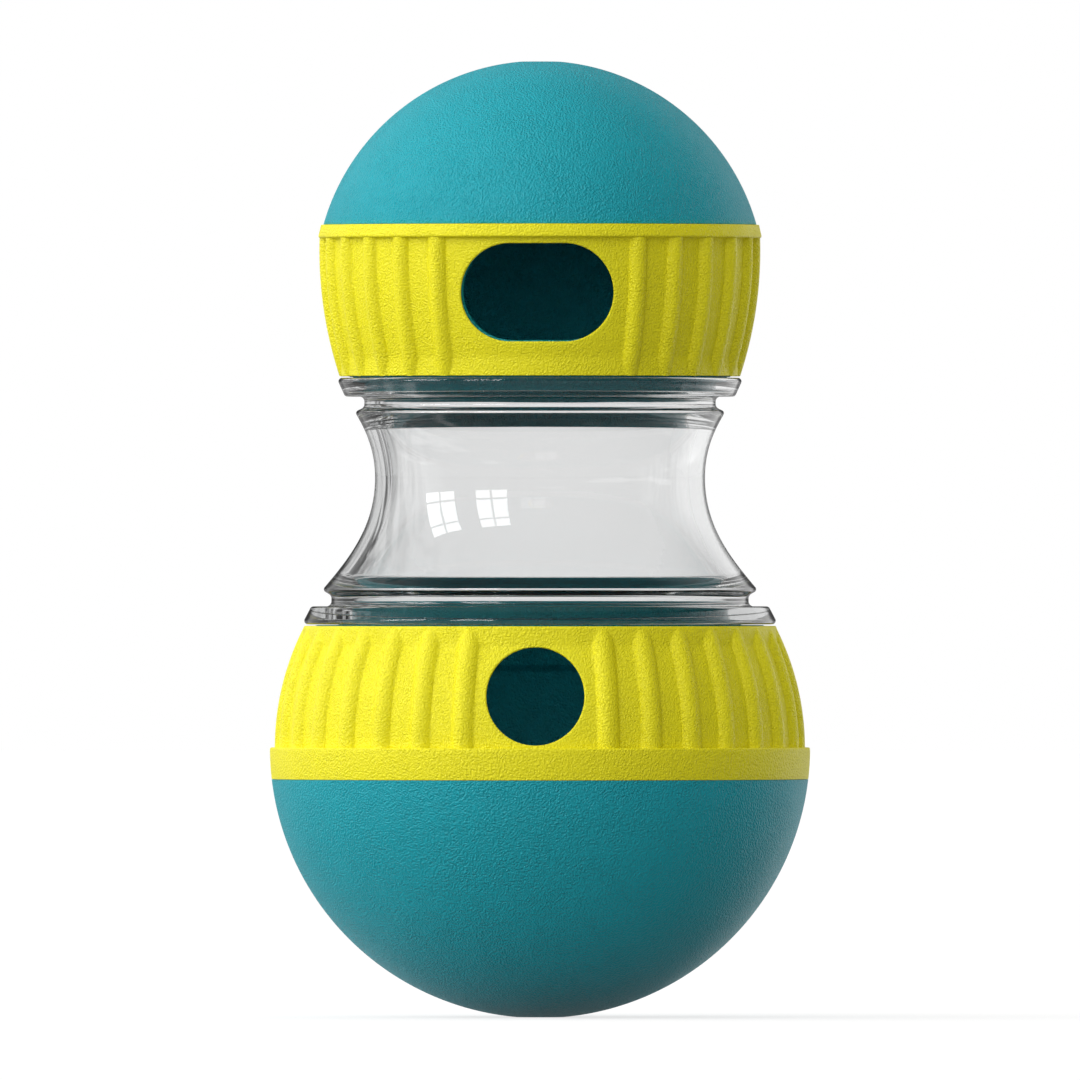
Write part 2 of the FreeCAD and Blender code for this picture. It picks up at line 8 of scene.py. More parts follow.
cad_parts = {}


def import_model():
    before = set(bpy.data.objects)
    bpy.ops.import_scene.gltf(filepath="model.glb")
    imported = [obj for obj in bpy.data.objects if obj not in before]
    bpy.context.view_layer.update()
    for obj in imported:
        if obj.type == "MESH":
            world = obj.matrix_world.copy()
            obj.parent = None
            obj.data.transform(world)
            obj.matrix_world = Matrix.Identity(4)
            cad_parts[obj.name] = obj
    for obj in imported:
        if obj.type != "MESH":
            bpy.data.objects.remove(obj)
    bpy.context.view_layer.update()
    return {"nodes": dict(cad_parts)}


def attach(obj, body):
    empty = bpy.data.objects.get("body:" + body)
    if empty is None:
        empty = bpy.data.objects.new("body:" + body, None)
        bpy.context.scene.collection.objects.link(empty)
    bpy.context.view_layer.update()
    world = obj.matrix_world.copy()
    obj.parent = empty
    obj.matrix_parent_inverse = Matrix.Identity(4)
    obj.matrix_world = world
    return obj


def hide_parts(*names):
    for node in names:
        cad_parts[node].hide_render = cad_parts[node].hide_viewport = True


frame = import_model()
scene = bpy.context.scene

# Sizes are in millimetres and angles in degrees, and meshes are made in metres.
MM = 0.001

# Gaps
SEAM = 0.15  # of every closed seam
RING_GAP = 0.3  # between a ring's end and the clear hopper
RUNNING_GAP = 0.3  # between a ring and the cup that it turns on

# Bowl
BOWL_R = 52.0
FOOT_R = 4.5  # of the flat at its lowest point
BOWL_Z = math.sqrt(BOWL_R ** 2 - FOOT_R ** 2)  # height of the ball's centre
BOWL_TOP = 45.65
BOWL_WALL = 2.5
BOWL_INSIDE = BOWL_R - BOWL_WALL

# Lower ring
BAND_HEIGHT = 6.1  # the smooth band under the ribs
BAND_STEP = 0.93  # how far the rib crests lie inside the band
LOW_HOLE = 18.9  # diameter of the round outlet
HOLE_MARGIN = 0.35  # plain wall above and below it
HOLE_LIFT = 0.2  # how far it is cut above the height that the rows are laid out for
TIP_LENGTH = 3.4  # the stretch over which the pointed rib tips run out
TIP_LAND = 0.4  # smooth edge above the rib tips
RIB_RISE = 1.25
LOW_RING_DEPTH = 2.8  # from the rib crests in to the inner face
LOW_RIBS = 33
LOW_RIB_WIDTH = 4.4
LOW_PAD = 5.47  # degrees from the outlet's side to the middle of the first rib
LOW_TURN = -1.06  # degrees that the ring is turned from its open place
SNAP_LIP = 0.8  # how far the lip of a cup stands out over its ring
LIP_HEIGHT = 0.9
LOW_RING_Z = BOWL_TOP + SEAM
BAND_TOP = LOW_RING_Z + BAND_HEIGHT
LOW_HOLE_Z = BAND_TOP + HOLE_MARGIN + LOW_HOLE / 2
TIP_BASE = LOW_HOLE_Z + LOW_HOLE / 2 + HOLE_MARGIN
TIP_TOP = TIP_BASE + TIP_LENGTH
LOW_RING_TOP = TIP_TOP + TIP_LAND
LOW_CREST = BOWL_R - BAND_STEP
LOW_VALLEY = LOW_CREST - RIB_RISE
LOW_INSIDE = LOW_CREST - LOW_RING_DEPTH
LOW_CUP_R = LOW_INSIDE - RUNNING_GAP
LOW_FIRST_RIB = math.degrees(math.asin(LOW_HOLE / 2 / LOW_VALLEY)) + LOW_PAD

# Inside of the bowl
FLOOR_DEPTH = 8.0  # from the bowl's rim down to the seat of the chamber floor
LEDGE_WIDTH = 2.5  # of that seat
POST_COUNT = 3
FIRST_POST = 90  # degrees from the right, so it stands at the back
POST_CIRCLE = 24.0  # radius of the circle that the screw posts stand on
POST_R = 4.0
PILOT_R = 1.35
PILOT_DEPTH = 10.0
SEAT_GAP = 0.3  # between the counterweight and the bowl
SLUG_HEIGHT = 23.0  # of the counterweight
POST_RECESS = 0.5  # how far the post tops lie below its plate
FLOOR_BASE = BOWL_TOP - FLOOR_DEPTH
LEDGE_R = LOW_CUP_R - LEDGE_WIDTH
POST_TOP = BOWL_Z - BOWL_INSIDE + SEAT_GAP + SLUG_HEIGHT - POST_RECESS

# Clear hopper
HOPPER_HEIGHT = 47.45
WAIST_HEIGHT = 28.23
WAIST_R = 31.75
WAIST_WALL = 3.25
FLANK_LAND = 1.7  # height of a flank's straight end beside its nose
FLANGE_ROUND = 0.7
GROOVE_ROUND = 1.0
NOSE_ROUND = 0.6
RECESS_ROUND = 0.3
RECESS_EDGE_ROUND = 0.15
HOPPER_Z = LOW_RING_TOP + RING_GAP
HOPPER_TOP = HOPPER_Z + HOPPER_HEIGHT
WAIST_Z = HOPPER_Z + WAIST_HEIGHT

# Its lower end: a flange, a groove, a ridge called the nose and the flank up to the waist
LOW_FLANGE_PROUD = 0.49  # how far the flange stands out past the ring
LOW_FLANGE_HEIGHT = 3.45
LOW_FLANGE_SLOPE = 1.8
LOW_FLANGE_RIM = 6.3  # between the ring's edge and the recess
LOW_GROOVE_DEPTH = 5.68
LOW_GROOVE_HEIGHT = 2.08
LOW_NOSE = 1.77  # how far the nose stands out from the groove
LOW_NOSE_SLOPE = 1.06
LOW_FLANK_ANGLE = 40.0
LOW_INNER_ANGLE = 38.25
LOW_COLLAR_INSET = 2.75  # from the recess in to the bore
LOW_SOCKET_LAND = 3.7  # bore left past the collar's end

# Its upper end, with the same sizes
TOP_FLANGE_PROUD = 0.55
TOP_FLANGE_HEIGHT = 3.6
TOP_FLANGE_SLOPE = 1.65
TOP_FLANGE_RIM = 2.9  # between the flange's edge and the recess
TOP_GROOVE_DEPTH = 5.38
TOP_GROOVE_HEIGHT = 2.07
TOP_NOSE = 1.83
TOP_NOSE_SLOPE = 0.87
TOP_FLANK_ANGLE = 29.0
TOP_INNER_ANGLE = 24.7
TOP_COLLAR_INSET = 5.45
TOP_SOCKET_LAND = 4.0

# Handles of the flanks' curves, as shares of the curve's height, at the flank and at the waist
LOW_OUTER_FULLNESS = (0.367, 0.425)
LOW_INNER_FULLNESS = (0.332, 0.43)
TOP_OUTER_FULLNESS = (0.356, 0.363)
TOP_INNER_FULLNESS = (0.34, 0.363)

# Discs and collars of the cups, which the hopper's recesses and bores follow
LOW_DISC_HEIGHT = 3.5
LOW_COLLAR_HEIGHT = 1.25
UP_DISC_HEIGHT = 2.4
UP_COLLAR_HEIGHT = 2.4
LOW_DISC_TOP = LOW_RING_TOP + SEAM + LOW_DISC_HEIGHT
LOW_COLLAR_TOP = LOW_DISC_TOP + LOW_COLLAR_HEIGHT
UP_DISC_Z = HOPPER_TOP + SEAM - UP_DISC_HEIGHT
UP_COLLAR_END = UP_DISC_Z - UP_COLLAR_HEIGHT

# Upper ring
FOOT_LENGTH = 3.6  # the stretch over which the base between the ribs runs out
FOOT_RIB = 0.35  # what is left of the ribs at the lower edge
LONG_HOLE = 29.45  # width of the long outlet
LONG_HOLE_HEIGHT = 18.9
LONG_HOLE_FOOT = 3.2  # plain wall below it
LONG_HOLE_HEAD = 0.9  # plain wall above it
LONG_HOLE_DROP = 0.3  # how far it is cut below the height that the rows are laid out for
RING_LIP_HEIGHT = 2.9
LIP_R = 42.74
LIP_TAPER = 0.58
CREST_STEP = 0.22  # how far the rib crests lie inside the lip
PROFILE_R = 77.0  # of the ball's side, seen from the side
PROFILE_DROP = 2.45  # how far below the lip that side is upright
UP_RING_DEPTH = 2.6  # from the rib crests in to the inner face
UP_RIBS = 27
UP_RIB_WIDTH = 3.8
UP_PAD = 7.04
UP_TURN = -0.78
UP_RING_Z = HOPPER_TOP + RING_GAP
FOOT_TOP = UP_RING_Z + FOOT_LENGTH
LONG_HOLE_Z = FOOT_TOP + LONG_HOLE_FOOT + LONG_HOLE_HEIGHT / 2
LIP_BASE = LONG_HOLE_Z + LONG_HOLE_HEIGHT / 2 + LONG_HOLE_HEAD
UP_RING_TOP = LIP_BASE + RING_LIP_HEIGHT
UP_CREST = LIP_R - CREST_STEP
PROFILE_Z = LIP_BASE - PROFILE_DROP
PROFILE_CENTRE = UP_CREST - PROFILE_R
UP_VALLEY = PROFILE_R - RIB_RISE
UP_INSIDE = PROFILE_R - UP_RING_DEPTH
UP_CUP_R = UP_INSIDE - RUNNING_GAP
UP_FIRST_RIB = math.degrees(math.asin(LONG_HOLE / 2 / (UP_CREST - RIB_RISE))) + UP_PAD

# Dome
DOME_DROP = 0.35  # how far the seam under the dome shows below its rim's own height
DOME_RISE = 30.92  # from that height to the flat at the top
DOME_FLAT = 3.75  # radius of that flat
DOME_INSET = 0.5  # how far the rim lies inside the ring's edge
DOME_COLLAR_INSET = 2.44
DOME_WALL = 2.2
DOME_Z = UP_RING_TOP + SEAM - DOME_DROP
DOME_RIM = LIP_R - LIP_TAPER - DOME_INSET
DOME_HEIGHT = DOME_RISE + DOME_DROP
DOME_CENTRE = DOME_Z + (DOME_HEIGHT ** 2 + DOME_FLAT ** 2 - DOME_RIM ** 2) / (2 * DOME_HEIGHT)
DOME_R = math.hypot(DOME_RIM, DOME_Z - DOME_CENTRE)
DOME_INSIDE = DOME_R - DOME_WALL


def low_r(radius, z):
    """Radius at height z of a sphere that is concentric with the bowl."""
    return np.sqrt(radius ** 2 - (z - BOWL_Z) ** 2)


def up_r(radius, z):
    """Radius at height z of the upper ball's side."""
    return PROFILE_CENTRE + np.sqrt(radius ** 2 - (z - PROFILE_Z) ** 2)


DOME_COLLAR = float(up_r(UP_CUP_R, LIP_BASE)) - DOME_COLLAR_INSET
LOW_EDGE = float(low_r(LOW_CREST, LOW_RING_TOP))
UP_EDGE = float(up_r(PROFILE_R, UP_RING_Z))


# Materials

# Scales are of noise, per metre. Spans are the noise values between which something changes.
WIDE_SPAN = (0.2, 0.8)
GRAIN_SCALE = 2800.0
GRAIN_DISTORTION = 0.3
GRAIN_TONE = 0.15  # how much the grain changes the tone
PATCH_SCALE = 130.0
PATCH_SPAN = (0.35, 0.62)
PATCH_DEPTH = (0.85, 1.1)  # of the grain, outside the patches and in them
CLOUD_SCALE = 60.0
CLOUD_TONE = (0.99, 1.01)
SATIN = 0.45  # roughness of the grained plastic
GRAINED_SPECULAR = 0.3
CLEAR_ROUGHNESS = 0.01
CLEAR_IOR = 1.57
HAZE = (0.90, 0.905, 0.905, 1.0)
HAZE_DENSITY = 190.0
FLOW_SQUEEZE = (1.0, 1.0, 0.12)  # draws the finer unevenness out in height
FLOW_SCALE = 330.0
FLOW_SHARE = 0.12  # of the finer unevenness beside the broader one
SWELL_SCALE = 55.0
FLOW_RELIEF = 0.08


def new_material(name):
    material = bpy.data.materials.new(name)
    material.use_nodes = True
    tree = material.node_tree
    tree.nodes.clear()
    return material, tree


def node(tree, kind, **values):
    """A shader node with its properties and, by name, the values of its sockets."""
    made = tree.nodes.new("ShaderNode" + kind)
    for key, value in values.items():
        if key == "in_second":
            made.inputs[1].default_value = value
        elif key.startswith("in_"):
            made.inputs[key[3:].replace("_", " ")].default_value = value
        else:
            setattr(made, key, value)
    return made


def calc(tree, operation, *values):
    """The result of a Math node on numbers and sockets."""
    made = node(tree, "Math", operation=operation)
    for socket, value in zip(made.inputs, values):
        if isinstance(value, bpy.types.NodeSocket):
            tree.links.new(value, socket)
        else:
            socket.default_value = value
    return made.outputs[0]


def times(tree, first, second):
    return calc(tree, "MULTIPLY", first, second)


def ease(tree, value, start, end, low, high):
    """Goes smoothly from low to high while a value goes from start to end."""
    made = node(
        tree, "MapRange", interpolation_type="SMOOTHSTEP",
        in_From_Min=start, in_From_Max=end, in_To_Min=low, in_To_Max=high,
    )
    tree.links.new(value, made.inputs["Value"])
    return made.outputs["Result"]


def scaled(tree, vector, factors):
    made = node(tree, "VectorMath", operation="MULTIPLY", in_second=factors)
    tree.links.new(vector, made.inputs[0])
    return made.outputs[0]


def noise(tree, place, scale, detail, **values):
    made = node(tree, "TexNoise", in_Scale=scale, in_Detail=detail, **values)
    tree.links.new(place, made.inputs["Vector"])
    return made.outputs["Fac"]


def toned(tree, colour, tone):
    """A colour whose brightness follows a socket."""
    tint = node(tree, "HueSaturation", in_Color=(*colour, 1.0))
    tree.links.new(tone, tint.inputs["Value"])
    return tint.outputs["Color"]


def bumped(tree, height, strength, distance):
    bump = node(tree, "Bump", in_Strength=strength, in_Distance=distance)
    tree.links.new(height, bump.inputs["Height"])
    return bump.outputs[0]


def grained_plastic(name, colour, grain):
    """Moulded plastic with a fine leather grain, deeper in some patches, and a little unevenness in tone."""
    material, tree = new_material(name)
    link = tree.links.new
    place = node(tree, "TexCoord").outputs["Object"]
    ripples = noise(tree, place, GRAIN_SCALE, 0.0, in_Distortion=GRAIN_DISTORTION)
    ripples = calc(tree, "SUBTRACT", ripples, 0.5)
    patches = ease(tree, noise(tree, place, PATCH_SCALE, 2.0), *PATCH_SPAN, *PATCH_DEPTH)
    cloud = ease(tree, noise(tree, place, CLOUD_SCALE, 3.0), *WIDE_SPAN, *CLOUD_TONE)
    tone = calc(tree, "MULTIPLY_ADD", ripples, GRAIN_TONE, cloud)
    shader = node(
        tree, "BsdfPrincipled", in_Roughness=SATIN, in_IOR=1.5,
        in_Specular_IOR_Level=GRAINED_SPECULAR,
    )
    height = times(tree, ripples, patches)
    link(toned(tree, colour, tone), shader.inputs["Base Color"])
    link(bumped(tree, height, 1.0, grain * MM / 2), shader.inputs["Normal"])
    link(shader.outputs[0], node(tree, "OutputMaterial").inputs["Surface"])
    return material


def clear_plastic(name):
    """Polished clear plastic with a slight unevenness from the mould and a grey tint in its thickness."""
    material, tree = new_material(name)
    link = tree.links.new
    output = node(tree, "OutputMaterial")
    shader = node(
        tree, "BsdfPrincipled", in_Base_Color=(1.0, 1.0, 1.0, 1.0), in_Roughness=CLEAR_ROUGHNESS,
        in_IOR=CLEAR_IOR, in_Transmission_Weight=1.0,
    )
    haze = node(tree, "VolumeAbsorption", in_Color=HAZE, in_Density=HAZE_DENSITY)
    place = node(tree, "TexCoord").outputs["Object"]
    fine = noise(tree, scaled(tree, place, FLOW_SQUEEZE), FLOW_SCALE, 1.0)
    swell = noise(tree, place, SWELL_SCALE, 1.0)
    flow = calc(tree, "MULTIPLY_ADD", fine, FLOW_SHARE, swell)
    link(bumped(tree, flow, FLOW_RELIEF, MM), shader.inputs["Normal"])
    link(shader.outputs[0], output.inputs["Surface"])
    link(haze.outputs[0], output.inputs["Volume"])
    return material


def plain(name, colour, roughness, metallic=0.0, scale=900.0, relief=0.1, tone_range=0.1):
    """A simple material whose tone and surface vary a little."""
    material, tree = new_material(name)
    link = tree.links.new
    shader = node(tree, "BsdfPrincipled", in_Roughness=roughness, in_Metallic=metallic)
    place = node(tree, "TexCoord").outputs["Object"]
    specks = noise(tree, place, scale, 4.0)
    tone = ease(tree, specks, *WIDE_SPAN, 1 - tone_range, 1 + tone_range)
    link(toned(tree, colour, tone), shader.inputs["Base Color"])
    link(bumped(tree, specks, relief, MM / 2), shader.inputs["Normal"])
    link(shader.outputs[0], node(tree, "OutputMaterial").inputs["Surface"])
    return material


TEAL = grained_plastic("teal_grain", (0.006, 0.345, 0.415), grain=0.7)
# A brighter copy of the same teal: painted light inside the shaded chamber of the ball, where too little
# light reaches
INNER_TEAL_PAINTED_LIGHT = grained_plastic("teal_inside_painted_light", (0.025, 0.50, 0.57), grain=0.6)
YELLOW = grained_plastic("yellow_grain", (0.84, 0.770, 0.009), grain=0.5)
CLEAR = clear_plastic("clear_polished")
GREY = plain("grey_moulded", (0.10, 0.10, 0.11), roughness=0.5)
IRON = plain(
    "cast_iron_rough", (0.13, 0.13, 0.135),
    roughness=0.6, metallic=1.0, scale=700.0, relief=0.5, tone_range=0.2,
)
STEEL = plain(
    "zinc_plated", (0.6, 0.61, 0.62),
    roughness=0.3, metallic=1.0, scale=2000.0, relief=0.05, tone_range=0.08,
)

NODE_MATERIALS = {
    "bottom_bowl": TEAL,
    # the chamber floor and the lower cup take the brighter teal, which paints light into their shade
    "chamber_floor": INNER_TEAL_PAINTED_LIGHT,
    "lower_cup": INNER_TEAL_PAINTED_LIGHT,
    "upper_cup": TEAL,
    "top_dome": TEAL,
    "lower_ring": YELLOW,
    "upper_ring": YELLOW,
    "hopper_body": CLEAR,
    "counterweight": IRON,
    "weight_plate": GREY,
    "weight_screws": STEEL,
}
for name, material in NODE_MATERIALS.items():
    slots = frame["nodes"][name].data.materials
    slots.clear()
    slots.append(material)


# Meshes

SEGMENTS = 480  # round the toy's axis
POST_SEGMENTS = 48
EDGE_ROUND = 0.06
HAIRLINE = 0.06  # of a closed seam, as it shows from outside
RIM_LAND = 0.3  # height of the straight run beside a rounded rim
INNER_POLE = 1.0  # radius of the flat that closes a shell's inner face
POST_FOOT = 2.2  # height at which a post's foot is laid out, before it follows the bowl
FOOT_SLACK = 0.1


def build_mesh(name, points_mm, quads, fans=()):
    """A mesh from points in mm, arrays of quads and lists of other faces. Unused points are left out."""
    quads = np.asarray(quads, int).reshape(-1, 4)
    others = [list(face) for face in fans]
    used = np.unique(np.concatenate([quads.ravel()] + [np.array(face, int) for face in others]))
    place = np.full(len(points_mm), -1)
    place[used] = np.arange(len(used))
    faces = place[quads].tolist() + [place[face].tolist() for face in others]
    mesh = bpy.data.meshes.new(name)
    mesh.from_pydata((points_mm[used] * MM).tolist(), [], faces)
    mesh.shade_smooth()
    return mesh, used


def place_piece(mesh, material, body, slot, *nodes):
    mesh.materials.append(material)
    piece = bpy.data.objects.new(mesh.name, mesh)
    scene.collection.objects.link(piece)
    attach(piece, body)
    if nodes:
        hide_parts(*nodes)


class Outline:
    """A closed outline of radius and height, kept as points with their outward directions.

    It runs outward along the bottom, up the outside, in along the top and down the inside.
    """

    ROUND_STEPS = 7
    CURVE_STEPS = 28
    ARC_STEP = 0.9
    LEAST_ARC_STEPS = 4
    SAME_POINT = 1e-6

    def __init__(self, r, z, rounding=0.0):
        self.corners = [((r, z), rounding)]
        self.links = []

    def line(self, r, z, rounding=0.0):
        self.corners.append(((r, z), rounding))
        self.links.append(None)
        return self

    def arc(self, centre_r, centre_z, r, z):
        self.corners.append(((r, z), 0.0))
        self.links.append(("arc", (centre_r, centre_z)))
        return self

    def curve(self, handle_1, handle_2, r, z):
        self.corners.append(((r, z), 0.0))
        self.links.append(("curve", handle_1, handle_2))
        return self

    def corner(self, index):
        """Points and directions of a corner's rounding, first to last."""
        here = np.array(self.corners[index][0], float)
        rounding = self.corners[index][1]
        before = np.array(self.corners[index - 1][0], float)
        after = np.array(self.corners[(index + 1) % len(self.corners)][0], float)
        if rounding == 0.0:
            return [here], [None]
        way_in = (here - before) / norm(here - before)
        way_out = (after - here) / norm(after - here)
        normal_in = np.array([way_in[1], -way_in[0]])
        normal_out = np.array([way_out[1], -way_out[0]])
        turn = way_in[0] * way_out[1] - way_in[1] * way_out[0]
        sign = 1.0 if turn > 0 else -1.0
        bisector = normal_in + normal_out
        centre = here - sign * bisector * rounding / (1 + normal_in @ normal_out)
        angle = math.acos(max(-1.0, min(1.0, float(normal_in @ normal_out))))
        points, normals = [], []
        for step in range(self.ROUND_STEPS + 1):
            share = step / self.ROUND_STEPS
            normal = (
                math.sin((1 - share) * angle) * normal_in + math.sin(share * angle) * normal_out
            ) / math.sin(angle)
            points.append(centre + sign * rounding * normal)
            normals.append(normal)
        return points, normals

    def trace(self, closed):
        """All points and outward directions, in order. An open outline stops at its last corner."""
        count = len(self.corners)
        rounds = [self.corner(i) for i in range(count)]
        points, normals = [], []

        def put(point, normal):
            if points and norm(points[-1] - point) < self.SAME_POINT:
                normals[-1] = normal if normals[-1] is None else normals[-1]
                return
            points.append(np.array(point, float))
            normals.append(normal)

        links = self.links + [None] * closed
        for index, link in enumerate(links):
            for point, normal in zip(*rounds[index]):
                put(point, normal)
            start = rounds[index][0][-1]
            end = rounds[(index + 1) % count][0][0]
            if link is None:
                way = (end - start) / max(norm(end - start), self.SAME_POINT)
                normal = np.array([way[1], -way[0]])
                if normals[-1] is None:
                    normals[-1] = normal
                put(end, normal)
            elif link[0] == "arc":
                centre = np.array(link[1], float)
                a, b = start - centre, end - centre
                first = math.atan2(a[1], a[0])
                sweep = math.remainder(math.atan2(b[1], b[0]) - first, 2 * math.pi)
                radius = norm(a)
                sign = 1.0 if sweep > 0 else -1.0
                steps = max(self.LEAST_ARC_STEPS, int(abs(sweep) * radius / self.ARC_STEP))
                for step in range(steps + 1):
                    angle = first + sweep * step / steps
                    way = np.array([math.cos(angle), math.sin(angle)])
                    if step == 0 and normals[-1] is None:
                        normals[-1] = sign * way
                    put(centre + radius * way, sign * way)
            else:
                p0, p1, p2, p3 = start, np.array(link[1]), np.array(link[2]), end
                for step in range(self.CURVE_STEPS + 1):
                    t = step / self.CURVE_STEPS
                    s = 1 - t
                    point = s ** 3 * p0 + 3 * s * s * t * p1 + 3 * s * t * t * p2 + t ** 3 * p3
                    way = s * s * (p1 - p0) + 2 * s * t * (p2 - p1) + t * t * (p3 - p2)
                    way = way / norm(way)
                    put(point, np.array([way[1], -way[0]]))
        if norm(points[0] - points[-1]) < self.SAME_POINT:
            points.pop()
            normals.pop()
        return np.array(points), np.array(normals)


def swept(values, theta):
    """Pairs of radius and height, or of a direction's parts, carried round the toy's axis."""
    grid = np.empty((len(values), len(theta), 3))
    grid[:, :, 0] = values[:, :1] * np.sin(theta)
    grid[:, :, 1] = -values[:, :1] * np.cos(theta)
    grid[:, :, 2] = values[:, 1:]
    return grid


def turned(name, outline, segments, closed=True):
    """The mesh that an outline makes when it is turned about the toy's axis, with flat caps if it is open."""
    points, normals = outline.trace(closed)
    count = len(points)
    theta = np.arange(segments) * 2 * math.pi / segments
    grid, ways = swept(points, theta), swept(normals, theta)
    rows = np.arange(count if closed else count - 1)[:, None]
    columns = np.arange(segments)[None, :]
    next_row, next_column = (rows + 1) % count, (columns + 1) % segments
    quads = np.stack([
        rows * segments + columns,
        rows * segments + next_column,
        next_row * segments + next_column,
        next_row * segments + columns,
    ], axis=-1)
    first_row = range(segments)
    last_row = range((count - 1) * segments, count * segments)
    caps = () if closed else (first_row[::-1], last_row)
    mesh, used = build_mesh(name, grid.reshape(-1, 3), quads, caps)
    mesh.normals_split_custom_set_from_vertices(ways.reshape(-1, 3)[used].tolist())
    return mesh


def bowl_outline():
    """The bowl's shell, with the seat of the chamber floor inside its rim."""
    top = BOWL_TOP + SEAM - HAIRLINE
    land = top - RIM_LAND
    ledge_foot = BOWL_Z - math.sqrt(BOWL_INSIDE ** 2 - LEDGE_R ** 2)
    return (
        Outline(FOOT_R, 0)
        .arc(0, BOWL_Z, float(low_r(BOWL_R, land)), land)
        .line(float(low_r(BOWL_R, top)), top, EDGE_ROUND)
        .line(LOW_CUP_R, top)
        .line(LOW_CUP_R, FLOOR_BASE)
        .line(LEDGE_R, FLOOR_BASE)
        .line(LEDGE_R, ledge_foot)
        .arc(0, BOWL_Z, INNER_POLE, BOWL_Z - math.sqrt(BOWL_INSIDE ** 2 - INNER_POLE ** 2))
    )


def post_outline():
    """A screw post with its pilot hole. It is sunk in the bowl's wall."""
    return (
        Outline(PILOT_R, POST_TOP - PILOT_DEPTH)
        .line(PILOT_R, POST_FOOT)
        .line(POST_R, POST_FOOT)
        .line(POST_R, POST_TOP, EDGE_ROUND)
        .line(PILOT_R, POST_TOP, EDGE_ROUND)
    )


def dome_outline():
    """The dome's shell, from its inner pole round its rim to the flat at its top."""
    def at(radius, r):
        return DOME_CENTRE + math.sqrt(radius ** 2 - r ** 2)

    base = DOME_Z - SEAM + HAIRLINE
    land = base + RIM_LAND
    return (
        Outline(INNER_POLE, at(DOME_INSIDE, INNER_POLE))
        .arc(0, DOME_CENTRE, DOME_COLLAR, at(DOME_INSIDE, DOME_COLLAR))
        .line(DOME_COLLAR, base, EDGE_ROUND)
        .line(DOME_RIM, base, EDGE_ROUND)
        .line(math.sqrt(DOME_R ** 2 - (land - DOME_CENTRE) ** 2), land)
        .arc(0, DOME_CENTRE, DOME_FLAT, DOME_Z + DOME_HEIGHT)
    )


def run_inward(angle, up):
    """Direction towards the axis at an angle, in degrees, from upright. up is 1 or -1."""
    return np.array([-math.sin(math.radians(angle)), up * math.cos(math.radians(angle))])


def flank_curve(flank, run, waist, fullness):
    """Handles, flank's and waist's, of the curve from a flank's end to the upright waist."""
    height = waist[1] - flank[1]
    return flank + run * (fullness[0] * abs(height)), waist - np.array([0, fullness[1] * height])


def hopper_outline():
    """The clear hourglass, an even wall between two stepped flanges."""
    top_edge = UP_EDGE + TOP_FLANGE_PROUD
    top_groove = top_edge - TOP_GROOVE_DEPTH
    top_flange = HOPPER_TOP - TOP_FLANGE_HEIGHT
    top_nose = top_groove + TOP_NOSE
    top_nose_z = top_flange - TOP_GROOVE_HEIGHT - TOP_NOSE_SLOPE
    low_edge = LOW_EDGE + LOW_FLANGE_PROUD
    low_groove = low_edge - LOW_GROOVE_DEPTH
    low_flange = HOPPER_Z + LOW_FLANGE_HEIGHT
    low_nose = low_groove + LOW_NOSE
    low_nose_z = low_flange + LOW_GROOVE_HEIGHT + LOW_NOSE_SLOPE

    low_run, top_run = run_inward(LOW_FLANK_ANGLE, 1), run_inward(TOP_FLANK_ANGLE, -1)
    low_flank = np.array([low_nose, low_nose_z]) + low_run * (FLANK_LAND / abs(low_run[1]))
    top_flank = np.array([top_nose, top_nose_z]) + top_run * (FLANK_LAND / abs(top_run[1]))
    waist = np.array([WAIST_R, WAIST_Z])
    waist_inside = np.array([WAIST_R - WAIST_WALL, WAIST_Z])

    low_recess = LOW_EDGE - LOW_FLANGE_RIM
    low_recess_top = LOW_DISC_TOP + SEAM
    low_bore = np.array([low_recess - LOW_COLLAR_INSET, LOW_COLLAR_TOP + LOW_SOCKET_LAND])
    top_recess = top_edge - TOP_FLANGE_RIM
    top_recess_z = UP_DISC_Z - SEAM
    top_bore = np.array([top_recess - TOP_COLLAR_INSET, UP_COLLAR_END - TOP_SOCKET_LAND])

    low_handles = flank_curve(low_flank, low_run, waist, LOW_OUTER_FULLNESS)
    top_handles = flank_curve(top_flank, top_run, waist, TOP_OUTER_FULLNESS)
    low_inner = flank_curve(low_bore, run_inward(LOW_INNER_ANGLE, 1), waist_inside, LOW_INNER_FULLNESS)
    top_inner = flank_curve(top_bore, run_inward(TOP_INNER_ANGLE, -1), waist_inside, TOP_INNER_FULLNESS)
    return (
        Outline(low_recess, HOPPER_Z, RECESS_EDGE_ROUND)
        .line(low_edge, HOPPER_Z, FLANGE_ROUND)
        .line(low_edge - LOW_FLANGE_SLOPE, low_flange, FLANGE_ROUND)
        .line(low_groove, low_flange, GROOVE_ROUND)
        .line(low_groove, low_flange + LOW_GROOVE_HEIGHT, GROOVE_ROUND)
        .line(low_nose, low_nose_z, NOSE_ROUND)
        .line(*low_flank)
        .curve(low_handles[0], low_handles[1], *waist)
        .curve(top_handles[1], top_handles[0], *top_flank)
        .line(top_nose, top_nose_z, NOSE_ROUND)
        .line(top_groove, top_flange - TOP_GROOVE_HEIGHT, GROOVE_ROUND)
        .line(top_groove, top_flange, GROOVE_ROUND)
        .line(top_edge - TOP_FLANGE_SLOPE, top_flange, FLANGE_ROUND)
        .line(top_edge, HOPPER_TOP, FLANGE_ROUND)
        .line(top_recess, HOPPER_TOP, RECESS_EDGE_ROUND)
        .line(top_recess, top_recess_z, RECESS_ROUND)
        .line(top_bore[0], top_recess_z, RECESS_ROUND)
        .line(*top_bore)
        .curve(top_inner[0], top_inner[1], *waist_inside)
        .curve(low_inner[1], low_inner[0], *low_bore)
        .line(low_bore[0], low_recess_top, RECESS_ROUND)
        .line(low_recess, low_recess_top, RECESS_ROUND)
    )


# Ribbed rings

